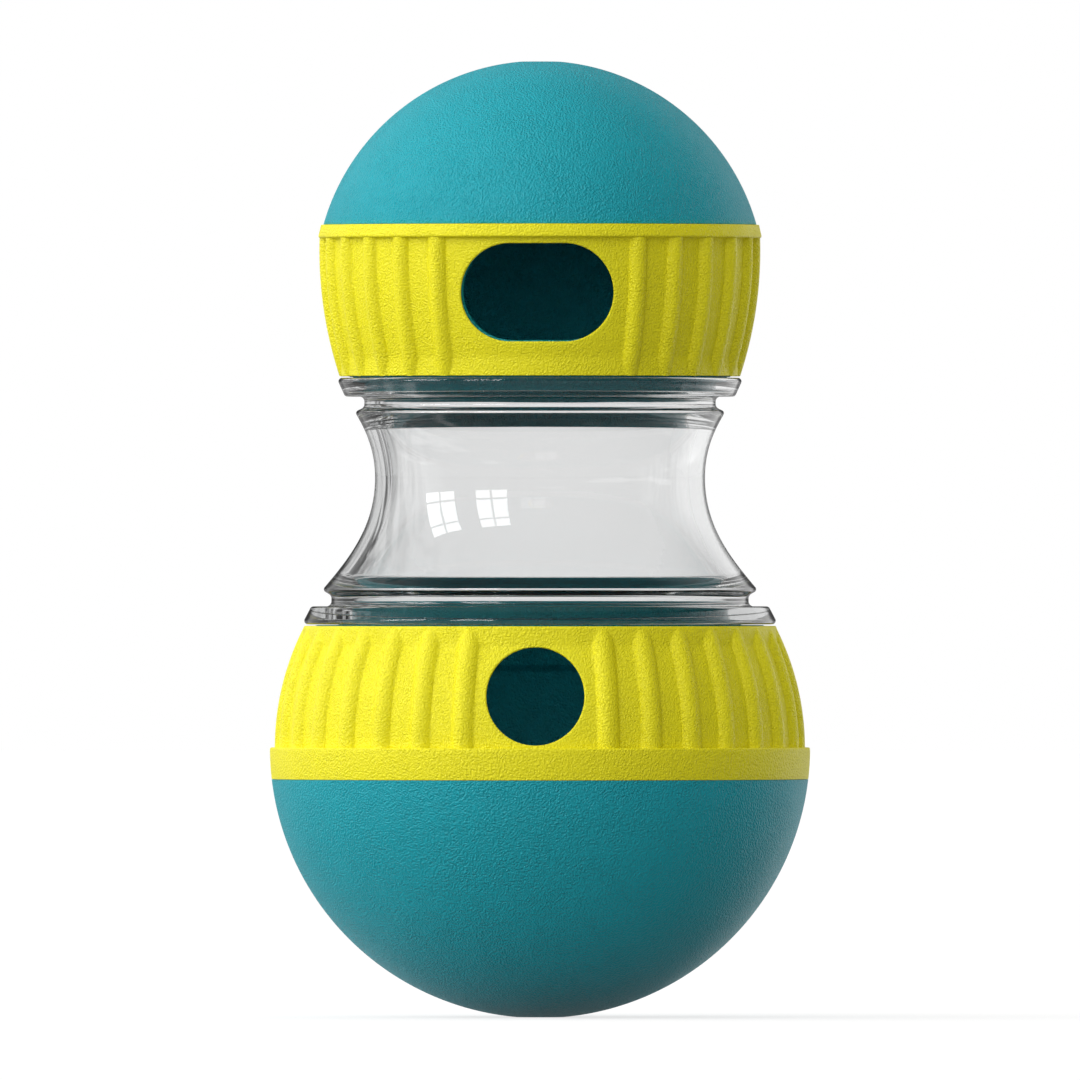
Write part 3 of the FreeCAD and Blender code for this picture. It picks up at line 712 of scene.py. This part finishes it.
COLUMNS = 1440
LOW_HOLE_COLUMNS = 50  # that the cut for the round outlet takes to each side of its middle
LONG_HOLE_COLUMNS = 93
LOW_HOLE_ROWS = 50  # over the height of that cut
LONG_HOLE_ROWS = 52
BAND_ROWS = 9
BAND_MARGIN = 0.7  # from the band's edges to the first and the last of these rows
TIP_ROWS = 12  # over the rib tips of the lower ring
FOOT_ROWS = 12  # over the foot of the upper ring
STRAIGHT_STEP = 2.0  # between the rows on the straight part of the lower ring's inner face
RIM_ROUND = 0.3  # of the outlets' outer edges
INNER_RIM_ROUND = 0.12
NEAR_SHARES = (0.0, 0.1, 0.25, 0.45, 0.7, 1.0)  # of the rounding, for the loops on it
FAR_SHARES = (0.25, 0.5, 0.75)  # of the way from the rounding to the edge of the cut
RIM_REACH = 0.9  # share of the way to that edge that the rounding may take
SHARP_ANGLE = 50
CHAMFER = 0.15
RABBET_CHAMFER = 0.12  # at the lower end of the upper ring's rabbet
RABBET_TOP_CHAMFER = 0.1
LOW_TOP_ROUND = 0.2  # of the lower ring's upper edge
LIP_FILLET = 0.4  # under the upper ring's lip
LIP_FILLET_STEPS = 5
LIP_ROUND = 0.35  # of the lip's lower edge
FOOT_EDGE = ((-0.3, 0.0), (-0.1, 0.02))  # steps in radius and height to soften a lower edge
FOOT_EDGE_HEIGHT = 0.1
ROUNDING_STEPS = 5
SOFT = 0.06  # half width of the soft foot of a rib
RIB_CROWN = 0.75  # power that rounds a rib's section: an ellipse at 0.5, a parabola at 1
RIB_FLANK = 3  # how far a rib's side goes on below its foot, per half width


def soft_over(b):
    """How far a surface b above another lifts it, with a soft foot."""
    return np.maximum(b, 0) + np.maximum(SOFT - np.abs(b), 0) ** 2 / (4 * SOFT)


def rib_rise(count, first, width, radius, theta):
    """Height of the nearest rib over the valley, at angles theta from the outlet, at a given radius."""
    pitch = (360.0 - 2 * first) / (count - 1)
    degrees = np.degrees(theta) % 360.0
    nearest = np.clip(np.round((degrees - first) / pitch), 0, count - 1)
    across = radius * np.sin(np.radians(degrees - first - nearest * pitch))
    share = np.abs(across) / (width / 2)
    crown = RIB_RISE * (1 - np.minimum(share, 1) ** 2) ** RIB_CROWN
    return np.where(share < 1, crown, RIB_FLANK * (1 - share))


def plain_rows(points):
    """Rows without ribs at points of radius and height."""
    return [(float(r), float(z), 0.0, 0.0) for r, z in points]


def rounding_rows(start, corner, end, radius):
    """Plain rows over the rounding of a right or blunt corner between two straight runs."""
    start, corner, end = (np.array(p, float) for p in (start, corner, end))
    a = (start - corner) / norm(start - corner)
    b = (end - corner) / norm(end - corner)
    half = math.acos(float(np.clip(a @ b, -1, 1))) / 2
    centre = corner + (a + b) / norm(a + b) * radius / math.sin(half)
    first = corner + a * radius / math.tan(half) - centre
    last = corner + b * radius / math.tan(half) - centre
    angle = math.acos(float(np.clip(first @ last / radius ** 2, -1, 1)))
    points = []
    for step in range(ROUNDING_STEPS + 1):
        t = step / ROUNDING_STEPS
        way = (math.sin((1 - t) * angle) * first + math.sin(t * angle) * last) / math.sin(angle)
        points.append(centre + way)
    return plain_rows(points)


def ribbed_row(r, z, centre_r, centre_z):
    """A row whose ribs rise straight away from a centre."""
    way_r, way_z = r - centre_r, z - centre_z
    length = math.hypot(way_r, way_z)
    return float(r), float(z), way_r / length, way_z / length


def ring_faces(centre_r, centre_z, valley, inside, *ribs):
    """How a ring's ribs lift a row, and its faces' radius and outward slope at a height.

    Both faces are arcs about one centre. ribs are count, first and width.
    """

    def rise(r, z, theta):
        return soft_over(valley + rib_rise(*ribs, r, theta) - math.hypot(r - centre_r, z - centre_z))

    def surface(z, outside):
        radius = valley if outside else inside
        r = centre_r + np.sqrt(radius ** 2 - (z - centre_z) ** 2)
        return r, (z - centre_z) / (r - centre_r)

    return rise, surface


def between(here, there):
    """Quads between two loops of point numbers."""
    return np.stack([here, np.roll(here, -1), np.roll(there, -1), there], 1)


def ring_mesh(name, rows, rise, surface, outer_rows, inner_rows, half, hole, turn):
    """A ring whose rows of points run round a closed section, with an outlet in its front.

    rows holds (radius, height, way_r, way_z): the way is where ribs rise, or zero on plain rows.
    rise and surface are the ring's faces. outer_rows and inner_rows are the rows, from low to high,
    between which the outlet is cut, over half columns to each side. hole is (half straight, radius,
    height).
    """
    theta = np.arange(COLUMNS) * 2 * math.pi / COLUMNS
    count = len(rows)
    grid = np.empty((count, COLUMNS, 3))
    for j, (r, z, way_r, way_z) in enumerate(rows):
        lift = rise(r, z, theta) if way_r or way_z else np.zeros(COLUMNS)
        radius = r + way_r * lift
        grid[j, :, 0] = radius * np.sin(theta)
        grid[j, :, 1] = -radius * np.cos(theta)
        grid[j, :, 2] = z + way_z * lift
    points = [grid.reshape(-1, 3)]
    total = count * COLUMNS
    keep = np.ones((count, COLUMNS), bool)
    for span in (outer_rows, inner_rows):
        keep[min(span):max(span), np.arange(-half, half)] = False
    quads = []
    for j in range(count):
        k = (j + 1) % count
        i = np.flatnonzero(keep[j])
        n = (i + 1) % COLUMNS
        quads.append(np.stack([j * COLUMNS + i, j * COLUMNS + n, k * COLUMNS + n, k * COLUMNS + i], 1))

    side, hole_radius, hole_z = hole
    rims = []
    for span, outer in ((outer_rows, True), (inner_rows, False)):
        across = list(range(-half, half + 1))
        loop = [(span[0], c) for c in across]
        loop += [(j, half) for j in span[1:]]
        loop += [(span[-1], c) for c in across[-2::-1]]
        loop += [(j, -half) for j in span[-2:0:-1]]
        edge = np.array([j * COLUMNS + c % COLUMNS for j, c in loop])
        border = grid.reshape(-1, 3)[edge]
        x, z = border[:, 0], border[:, 2]
        centre_x = np.clip(x, -side, side)
        reach = np.hypot(x - centre_x, z - hole_z)
        rim_x = centre_x + hole_radius * (x - centre_x) / reach
        rim_z = hole_z + hole_radius * (z - hole_z) / reach
        gap = np.hypot(x - rim_x, z - rim_z)
        rounding = RIM_ROUND if outer else INNER_RIM_ROUND
        reached = np.minimum(rounding, gap * RIM_REACH)
        near = np.array(NEAR_SHARES) * rounding
        runs = [np.minimum(value, gap * RIM_REACH * value / rounding) for value in near]
        runs += [reached + share * (gap - reached) for share in FAR_SHARES]
        layers = []
        for run in runs:
            px = rim_x + (x - rim_x) * run / gap
            pz = rim_z + (z - rim_z) * run / gap
            radius, slope = surface(pz, outer)
            py = -np.sqrt(radius ** 2 - px ** 2)
            sink = rounding - np.sqrt(np.maximum(rounding ** 2 - np.maximum(rounding - run, 0) ** 2, 0))
            length = np.sqrt(1 + slope ** 2)
            way = np.stack([px / radius / length, py / radius / length, slope / length], 1)
            sign = -1.0 if outer else 1.0
            layers.append(np.stack([px, py, pz], 1) + sign * way * sink[:, None])
        index = []
        for layer in layers:
            index.append(np.arange(total, total + len(layer)))
            points.append(layer)
            total += len(layer)
        index.append(edge)
        rims.append(index[0])
        for there, here in zip(index[:-1], index[1:]):
            quads.append(between(here, there) if outer else between(here, there)[:, ::-1])
    quads.append(between(*rims))
    points = np.concatenate(points)
    angle = math.radians(turn)
    x, y = points[:, 0].copy(), points[:, 1].copy()
    points[:, 0] = x * math.cos(angle) - y * math.sin(angle)
    points[:, 1] = x * math.sin(angle) + y * math.cos(angle)
    mesh, _ = build_mesh(name, points, np.concatenate(quads))
    mesh.set_sharp_from_angle(angle=math.radians(SHARP_ANGLE))
    return mesh


def lower_ring():
    rabbet_z = LOW_RING_TOP - LIP_HEIGHT
    rabbet = float(low_r(LOW_CUP_R, rabbet_z + SEAM)) + SNAP_LIP + RUNNING_GAP
    foot = float(low_r(BOWL_R, LOW_RING_Z))
    rows = plain_rows([(LOW_INSIDE, LOW_RING_Z + CHAMFER), (LOW_INSIDE + CHAMFER, LOW_RING_Z)])
    rows += rounding_rows((LOW_INSIDE, LOW_RING_Z), (foot, LOW_RING_Z), (BOWL_R, BAND_TOP), EDGE_ROUND)
    band_heights = np.linspace(LOW_RING_Z + BAND_MARGIN, BAND_TOP - BAND_MARGIN, BAND_ROWS)
    rows += plain_rows((low_r(BOWL_R, z), z) for z in band_heights)
    rows += rounding_rows((foot, LOW_RING_Z), (BOWL_R, BAND_TOP), (LOW_VALLEY, BAND_TOP), RIM_ROUND)

    first = len(rows)
    heights = np.concatenate([
        np.linspace(BAND_TOP, TIP_BASE, LOW_HOLE_ROWS), np.linspace(TIP_BASE, TIP_TOP, TIP_ROWS)[1:],
    ])
    for z in heights:
        share = max(0.0, (z - TIP_BASE) / (TIP_TOP - TIP_BASE))
        r = low_r(LOW_VALLEY, min(z, TIP_BASE)) * (1 - share) + low_r(LOW_CREST, TIP_TOP) * share
        rows.append(ribbed_row(r, z, 0.0, BOWL_Z))
    outer = list(range(first, first + LOW_HOLE_ROWS))
    rows += rounding_rows(
        (low_r(LOW_CREST, TIP_TOP), TIP_TOP), (LOW_EDGE, LOW_RING_TOP), (rabbet, LOW_RING_TOP), LOW_TOP_ROUND
    )
    rows += plain_rows([
        (rabbet + CHAMFER, LOW_RING_TOP), (rabbet, LOW_RING_TOP - CHAMFER), (rabbet, rabbet_z),
    ])

    last = len(rows)
    rows += plain_rows((low_r(LOW_INSIDE, z), z) for z in [rabbet_z, *heights[:LOW_HOLE_ROWS][::-1]])
    inner = list(range(last + LOW_HOLE_ROWS, last, -1))
    rows += plain_rows((LOW_INSIDE, BOWL_Z - drop) for drop in (STRAIGHT_STEP, 2 * STRAIGHT_STEP))

    faces = ring_faces(0.0, BOWL_Z, LOW_VALLEY, LOW_INSIDE, LOW_RIBS, LOW_FIRST_RIB, LOW_RIB_WIDTH)
    return ring_mesh(
        "ribbed_ring_lower", rows, *faces, outer, inner, LOW_HOLE_COLUMNS,
        (0.0, LOW_HOLE / 2, LOW_HOLE_Z + HOLE_LIFT), LOW_TURN,
    )


def upper_ring():
    lip_z = HOPPER_TOP + SEAM
    rabbet = float(up_r(UP_CUP_R, lip_z + LIP_HEIGHT)) + SNAP_LIP + RUNNING_GAP
    rabbet_top = lip_z + LIP_HEIGHT + SEAM
    lip_top = LIP_R - LIP_TAPER
    top = UP_RING_TOP - DOME_DROP
    inside_top = float(up_r(UP_INSIDE, LIP_BASE))
    foot = UP_EDGE - FOOT_RIB
    rows = plain_rows([(rabbet, UP_RING_Z + RABBET_CHAMFER), (rabbet + RABBET_CHAMFER, UP_RING_Z)])
    rows += plain_rows((foot + r, UP_RING_Z + z) for r, z in FOOT_EDGE)

    heights = np.concatenate([
        np.linspace(UP_RING_Z, FOOT_TOP, FOOT_ROWS)[1:-1],
        np.linspace(FOOT_TOP, LIP_BASE - LIP_FILLET, LONG_HOLE_ROWS),
    ])
    valley_top = float(up_r(UP_VALLEY, FOOT_TOP))
    for z in [UP_RING_Z + FOOT_EDGE_HEIGHT, *heights]:
        if z < FOOT_TOP:
            share = (z - UP_RING_Z) / (FOOT_TOP - UP_RING_Z)
            r = foot + (valley_top - foot) * share
        else:
            r = float(up_r(UP_VALLEY, z))
        rows.append(ribbed_row(r, z, PROFILE_CENTRE, PROFILE_Z))
    outer = list(range(len(rows) - LONG_HOLE_ROWS, len(rows)))
    for step in range(1, LIP_FILLET_STEPS + 1):
        turn = math.radians(90 * step / LIP_FILLET_STEPS)
        z = LIP_BASE - LIP_FILLET + LIP_FILLET * math.sin(turn)
        r = float(up_r(UP_VALLEY, z)) + LIP_FILLET * (1 - math.cos(turn))
        rows.append((r, float(z), 1.0, 0.0))
    rows += rounding_rows((inside_top, LIP_BASE), (LIP_R, LIP_BASE), (lip_top, top), LIP_ROUND)
    rows += rounding_rows((LIP_R, LIP_BASE), (lip_top, top), (inside_top, top), EDGE_ROUND)
    rows += plain_rows([(inside_top + CHAMFER, top), (inside_top, top - CHAMFER)])

    last = len(rows)
    rows += plain_rows((up_r(UP_INSIDE, z), z) for z in heights[-LONG_HOLE_ROWS:][::-1])
    inner = list(range(last + LONG_HOLE_ROWS - 1, last - 1, -1))
    rows += plain_rows([
        (up_r(UP_INSIDE, rabbet_top), rabbet_top), (rabbet - RABBET_TOP_CHAMFER, rabbet_top),
        (rabbet, rabbet_top - RABBET_TOP_CHAMFER),
    ])

    faces = ring_faces(
        PROFILE_CENTRE, PROFILE_Z, UP_VALLEY, UP_INSIDE, UP_RIBS, UP_FIRST_RIB, UP_RIB_WIDTH
    )
    side = LONG_HOLE / 2 - LONG_HOLE_HEIGHT / 2
    return ring_mesh(
        "ribbed_ring_upper", rows, *faces, outer, inner, LONG_HOLE_COLUMNS,
        (side, LONG_HOLE_HEIGHT / 2, LONG_HOLE_Z - LONG_HOLE_DROP), UP_TURN,
    )


# Pieces

def screw_post(index):
    """A screw post at its place, with its foot sunk half way into the bowl's wall."""
    mesh = turned(f"screw_post_{index + 1}", post_outline(), POST_SEGMENTS)
    turn = math.radians(FIRST_POST + index * 360 / POST_COUNT)
    away = np.array([math.cos(turn), math.sin(turn)]) * POST_CIRCLE * MM
    sunk = BOWL_R - BOWL_WALL / 2
    for vertex in mesh.vertices:
        at_foot = vertex.co.z < (POST_FOOT + FOOT_SLACK) * MM
        vertex.co.x += away[0]
        vertex.co.y += away[1]
        if at_foot:
            out = math.hypot(vertex.co.x, vertex.co.y) / MM
            vertex.co.z = (BOWL_Z - math.sqrt(sunk ** 2 - out ** 2)) * MM
    return mesh


bowl = turned("bowl_shell", bowl_outline(), SEGMENTS, closed=False)
place_piece(bowl, TEAL, "base", "teal_plastic", "bottom_bowl")
for index in range(POST_COUNT):
    place_piece(screw_post(index), TEAL, "base", "teal_plastic")
dome = turned("dome_shell", dome_outline(), SEGMENTS, closed=False)
place_piece(dome, TEAL, "head", "teal_plastic", "top_dome")
place_piece(lower_ring(), YELLOW, "lower_ring", "yellow_plastic", "lower_ring")
place_piece(upper_ring(), YELLOW, "upper_ring", "yellow_plastic", "upper_ring")
hourglass = turned("hourglass_clear", hopper_outline(), SEGMENTS)
place_piece(hourglass, CLEAR, "hopper", "clear_plastic", "hopper_body")


# Stage, light and camera

# A direction is given by x to the right, y away from the camera and z up.
DAYLIGHT = 1.35  # of the world's light, averaged over its directions
SIDE_SLOPE = 1.00  # how much more of it comes from the left, and less from the right
OVERHEAD = 0.75  # share of it that is left straight above
ROOM = 0.12  # share of it that reflections show in front of the toy
STRAIGHT_IN_FRONT = 0.4  # share of that which is left straight in front
WALL = 0.9  # brightness of what reflections show behind the toy
WALL_SLOPE = 0.75  # how much brighter that gets to the right
STRAIGHT_BEHIND = 0.1  # share of it that is left straight behind
GROUND = 0.5  # brightness of what reflections show straight below
STREAKS = 1.1  # brightness of the pale streaks low in the room
STREAK_SCALE = (1.7, 1.7, 10.0)
STREAK_SPAN = (0.57, 0.70)
STREAK_BAND = (-0.6, 0.15, 0.2)
THROUGH = 0.95  # brightness of the background behind clear plastic
STEEP = 0.3  # share of it that is left far up and far down
STRIPE_SCALE = (9.0, 9.0, 1.5)  # of the dark stripes in the left part of that background
STRIPE_SPAN = (0.38, 0.56)
MIRRORED = 0.85  # brightness of what is behind the toy, mirrored inside clear plastic
FRONT_MIRRORED = 0.12  # the same of what is in front of it
UNDER_GLASS = 0.1  # share of the light that reaches a matt surface through clear plastic, from below
ABOVE_GLASS = 0.55  # the same from above
PANES = 6.0  # brightness of the windows
WINDOWS = (  # left, right, low and high side, in degrees
    (63.0, 87.4, 10.0, 41.5),
    (23.5, 46.0, 10.0, 43.0),
)
FAR_WINDOW = (-4.0, 13.5, 17.6, 27.7)
FAR_PANE = 0.15  # its brightness as a share of the others'
PANE_SOFT = 0.5  # width of the soft edges, in degrees
BAR_HALF = 0.8  # half width of the upright bar, in degrees
BAR_DARK = 0.9
TRANSOM = (0.76, 0.80)  # its sides, as shares of the window's height
SILL_RAIL = (0.20, 0.25)
FLOOR_TONE = 0.25
FLOOR_LIT = 0.8  # share of the daylight that the floor takes up
FLOOR_HALF = 12.0  # half its width, in metres
MIDDLE = 0.09  # height of the toy's middle, in metres
LAMP_DISTANCE = 1.2  # in metres
LAMP_SIZE = 0.8


def choose(tree, switch, off, on):
    """off where a switch socket is 0 and on where it is 1."""
    share_on = times(tree, switch, on)
    share_off = times(tree, calc(tree, "SUBTRACT", 1.0, switch), off)
    return calc(tree, "ADD", share_on, share_off)


def band(tree, value, low, high, soft):
    """1 while a value is between low and high, easing to 0 over soft."""
    half = (high - low) / 2
    away = calc(tree, "ABSOLUTE", calc(tree, "SUBTRACT", value, (low + high) / 2))
    return ease(tree, away, half - soft / 2, half + soft / 2, 1.0, 0.0)


def window(tree, azimuth, elevation, left, right, low, high):
    """A window with a transom near its top, a sill rail and one upright bar. Angles in degrees."""
    across, up = band(tree, azimuth, left, right, PANE_SOFT), band(tree, elevation, low, high, PANE_SOFT)
    glass = times(tree, across, up)
    middle = (left + right) / 2
    bars = [band(tree, azimuth, middle - BAR_HALF, middle + BAR_HALF, PANE_SOFT)]
    for rail in (TRANSOM, SILL_RAIL):
        sides = [low + share * (high - low) for share in rail]
        bars.append(band(tree, elevation, *sides, PANE_SOFT))
    for bar in bars:
        clear = calc(tree, "SUBTRACT", 1.0, times(tree, bar, BAR_DARK))
        glass = times(tree, glass, clear)
    return glass


def patterned(tree, direction, scale, start, end, low, high):
    """Noise over the directions, eased from low to high."""
    return ease(tree, noise(tree, scaled(tree, direction, scale), 1.0, 2.0), start, end, low, high)


def surroundings(tree, direction, path):
    """The daylight from a direction, and what reflections and the clear plastic show there."""
    split = node(tree, "SeparateXYZ")
    tree.links.new(direction, split.inputs[0])
    x, y, z = split.outputs
    daylight = calc(tree, "MULTIPLY_ADD", x, -DAYLIGHT * SIDE_SLOPE, DAYLIGHT)
    daylight = times(tree, daylight, ease(tree, z, 0.2, 1.0, 1.0, OVERHEAD))

    front = ease(tree, y, -1.0, 0.0, STRAIGHT_IN_FRONT, 1.0)
    dim = times(tree, times(tree, daylight, front), ROOM)
    behind = times(tree, ease(tree, y, 0.0, 0.6, 0.0, 1.0), ease(tree, z, 0.2, 0.6, 1.0, 0.0))
    wall = calc(tree, "MULTIPLY_ADD", x, WALL_SLOPE, WALL)
    wall = times(tree, wall, ease(tree, y, 0.90, 0.97, 1.0, STRAIGHT_BEHIND))
    streaks = patterned(tree, direction, STREAK_SCALE, *STREAK_SPAN, 0.0, STREAKS)
    streaks = times(tree, streaks, band(tree, z, *STREAK_BAND))
    below = ease(tree, z, -0.95, -0.6, GROUND, 0.0)
    room = calc(tree, "ADD", choose(tree, behind, calc(tree, "ADD", dim, streaks), wall), below)

    stripes = patterned(tree, direction, STRIPE_SCALE, *STRIPE_SPAN, 0.0, 1.0)
    beyond = choose(tree, ease(tree, x, -0.45, -0.12, 1.0, 0.0), 1.0, stripes)
    level = ease(tree, calc(tree, "ABSOLUTE", z), 0.35, 0.7, THROUGH, STEEP * THROUGH)
    mirrored = calc(tree, "MINIMUM", path["Glossy Depth"], 1.0)
    level = choose(tree, mirrored, level, ease(tree, y, -0.4, 0.3, FRONT_MIRRORED, MIRRORED))
    seen_through = times(tree, beyond, level)
    under_glass = times(tree, daylight, ease(tree, z, 0.15, 0.6, UNDER_GLASS, ABOVE_GLASS))
    lighting = calc(tree, "MINIMUM", path["Diffuse Depth"], 1.0)
    through = choose(tree, lighting, seen_through, under_glass)
    return (x, y, z), daylight, room, through


def floor():
    """A pale floor that looks as white as the background and keeps a soft shadow."""
    material, tree = new_material("pale_floor")
    link = tree.links.new
    path = node(tree, "LightPath").outputs
    away = node(tree, "VectorMath", operation="SUBTRACT", in_second=(0, 0, MIDDLE))
    link(node(tree, "TexCoord").outputs["Object"], away.inputs[0])
    direction = node(tree, "VectorMath", operation="NORMALIZE")
    link(away.outputs[0], direction.inputs[0])
    _, _, room, through = surroundings(tree, direction.outputs[0], path)

    matt = node(tree, "BsdfDiffuse", in_Color=(FLOOR_TONE, FLOOR_TONE, FLOOR_TONE, 1.0))
    glow = node(tree, "Emission", in_Color=(1.0, 1.0, 1.0, 1.0))
    level = times(tree, path["Is Glossy Ray"], room)
    level = choose(tree, path["Is Transmission Ray"], level, through)
    level = choose(tree, path["Is Camera Ray"], level, 1.0)
    own = calc(tree, "SUBTRACT", level, FLOOR_TONE * DAYLIGHT * FLOOR_LIT)
    link(calc(tree, "MAXIMUM", own, 0.0), glow.inputs["Strength"])
    both = node(tree, "AddShader")
    link(matt.outputs[0], both.inputs[0])
    link(glow.outputs[0], both.inputs[1])
    link(both.outputs[0], node(tree, "OutputMaterial").inputs["Surface"])
    mesh = bpy.data.meshes.new("floor_plane")
    corners = [(x * FLOOR_HALF, y * FLOOR_HALF, 0) for x, y in ((-1, -1), (1, -1), (1, 1), (-1, 1))]
    mesh.from_pydata(corners, [], [(0, 1, 2, 3)])
    mesh.materials.append(material)
    plane = bpy.data.objects.new("floor_plane", mesh)
    scene.collection.objects.link(plane)


def world():
    """A white background, soft daylight from the left and three windows that only reflections show."""
    made = bpy.data.worlds.new("studio")
    scene.world = made
    made.use_nodes = True
    tree = made.node_tree
    tree.nodes.clear()
    link = tree.links.new
    path = node(tree, "LightPath").outputs
    direction = node(tree, "TexCoord").outputs["Generated"]
    (x, y, z), daylight, room, through = surroundings(tree, direction, path)

    degree = math.pi / 180
    left, towards = times(tree, x, -1.0), times(tree, y, -1.0)
    azimuth = calc(tree, "DIVIDE", calc(tree, "ARCTAN2", left, towards), degree)
    elevation = calc(tree, "DIVIDE", calc(tree, "ARCSINE", z), degree)
    panes = calc(tree, "ADD", *(window(tree, azimuth, elevation, *sides) for sides in WINDOWS))
    far_pane = window(tree, azimuth, elevation, *FAR_WINDOW)
    panes = calc(tree, "MULTIPLY_ADD", far_pane, FAR_PANE, panes)
    room = calc(tree, "MULTIPLY_ADD", panes, PANES, room)

    level = choose(tree, path["Is Glossy Ray"], daylight, room)
    level = choose(tree, path["Is Transmission Ray"], level, through)
    level = choose(tree, path["Is Camera Ray"], level, 1.0)
    background = node(tree, "Background", in_Color=(1, 1, 1, 1))
    link(level, background.inputs["Strength"])
    link(background.outputs[0], node(tree, "OutputWorld").inputs["Surface"])


def soft_light(name, azimuth, elevation, power):
    """A square light, aimed at the toy's middle. Azimuth 0 is the camera's side and 90 the right."""
    data = bpy.data.lights.new(name, "AREA")
    data.shape = "SQUARE"
    data.size = LAMP_SIZE
    data.energy = power
    lamp = bpy.data.objects.new(name, data)
    a, e = math.radians(azimuth), math.radians(elevation)
    lamp.location = (
        LAMP_DISTANCE * math.sin(a) * math.cos(e),
        -LAMP_DISTANCE * math.cos(a) * math.cos(e),
        MIDDLE + LAMP_DISTANCE * math.sin(e),
    )
    way = Vector(np.array((0, 0, MIDDLE)) - np.array(lamp.location))
    lamp.rotation_euler = way.to_track_quat("-Z", "Y").to_euler()
    lamp.visible_glossy = False
    lamp.visible_transmission = False
    scene.collection.objects.link(lamp)


floor()
world()
soft_light("key_left", azimuth=-80, elevation=25, power=1.8)
soft_light("rim_right", azimuth=135, elevation=12, power=3.5)

FRAME_WIDTH = 0.2079  # of the picture at the toy's axis, in metres
LENS = 1650.0  # long and far away, so the picture is nearly without perspective
SENSOR = 36.0
CAMERA_HEIGHT = 0.09183
CLIP_END = 100.0
camera_data = bpy.data.cameras.new("camera")
camera_data.lens = LENS
camera_data.sensor_width = SENSOR
camera_data.clip_end = CLIP_END
camera = bpy.data.objects.new("camera", camera_data)
camera.location = (0.0, -FRAME_WIDTH * LENS / SENSOR, CAMERA_HEIGHT)
camera.rotation_euler = (math.radians(90), 0, 0)
scene.collection.objects.link(camera)
scene.camera = camera
scene.view_settings.view_transform = "Standard"
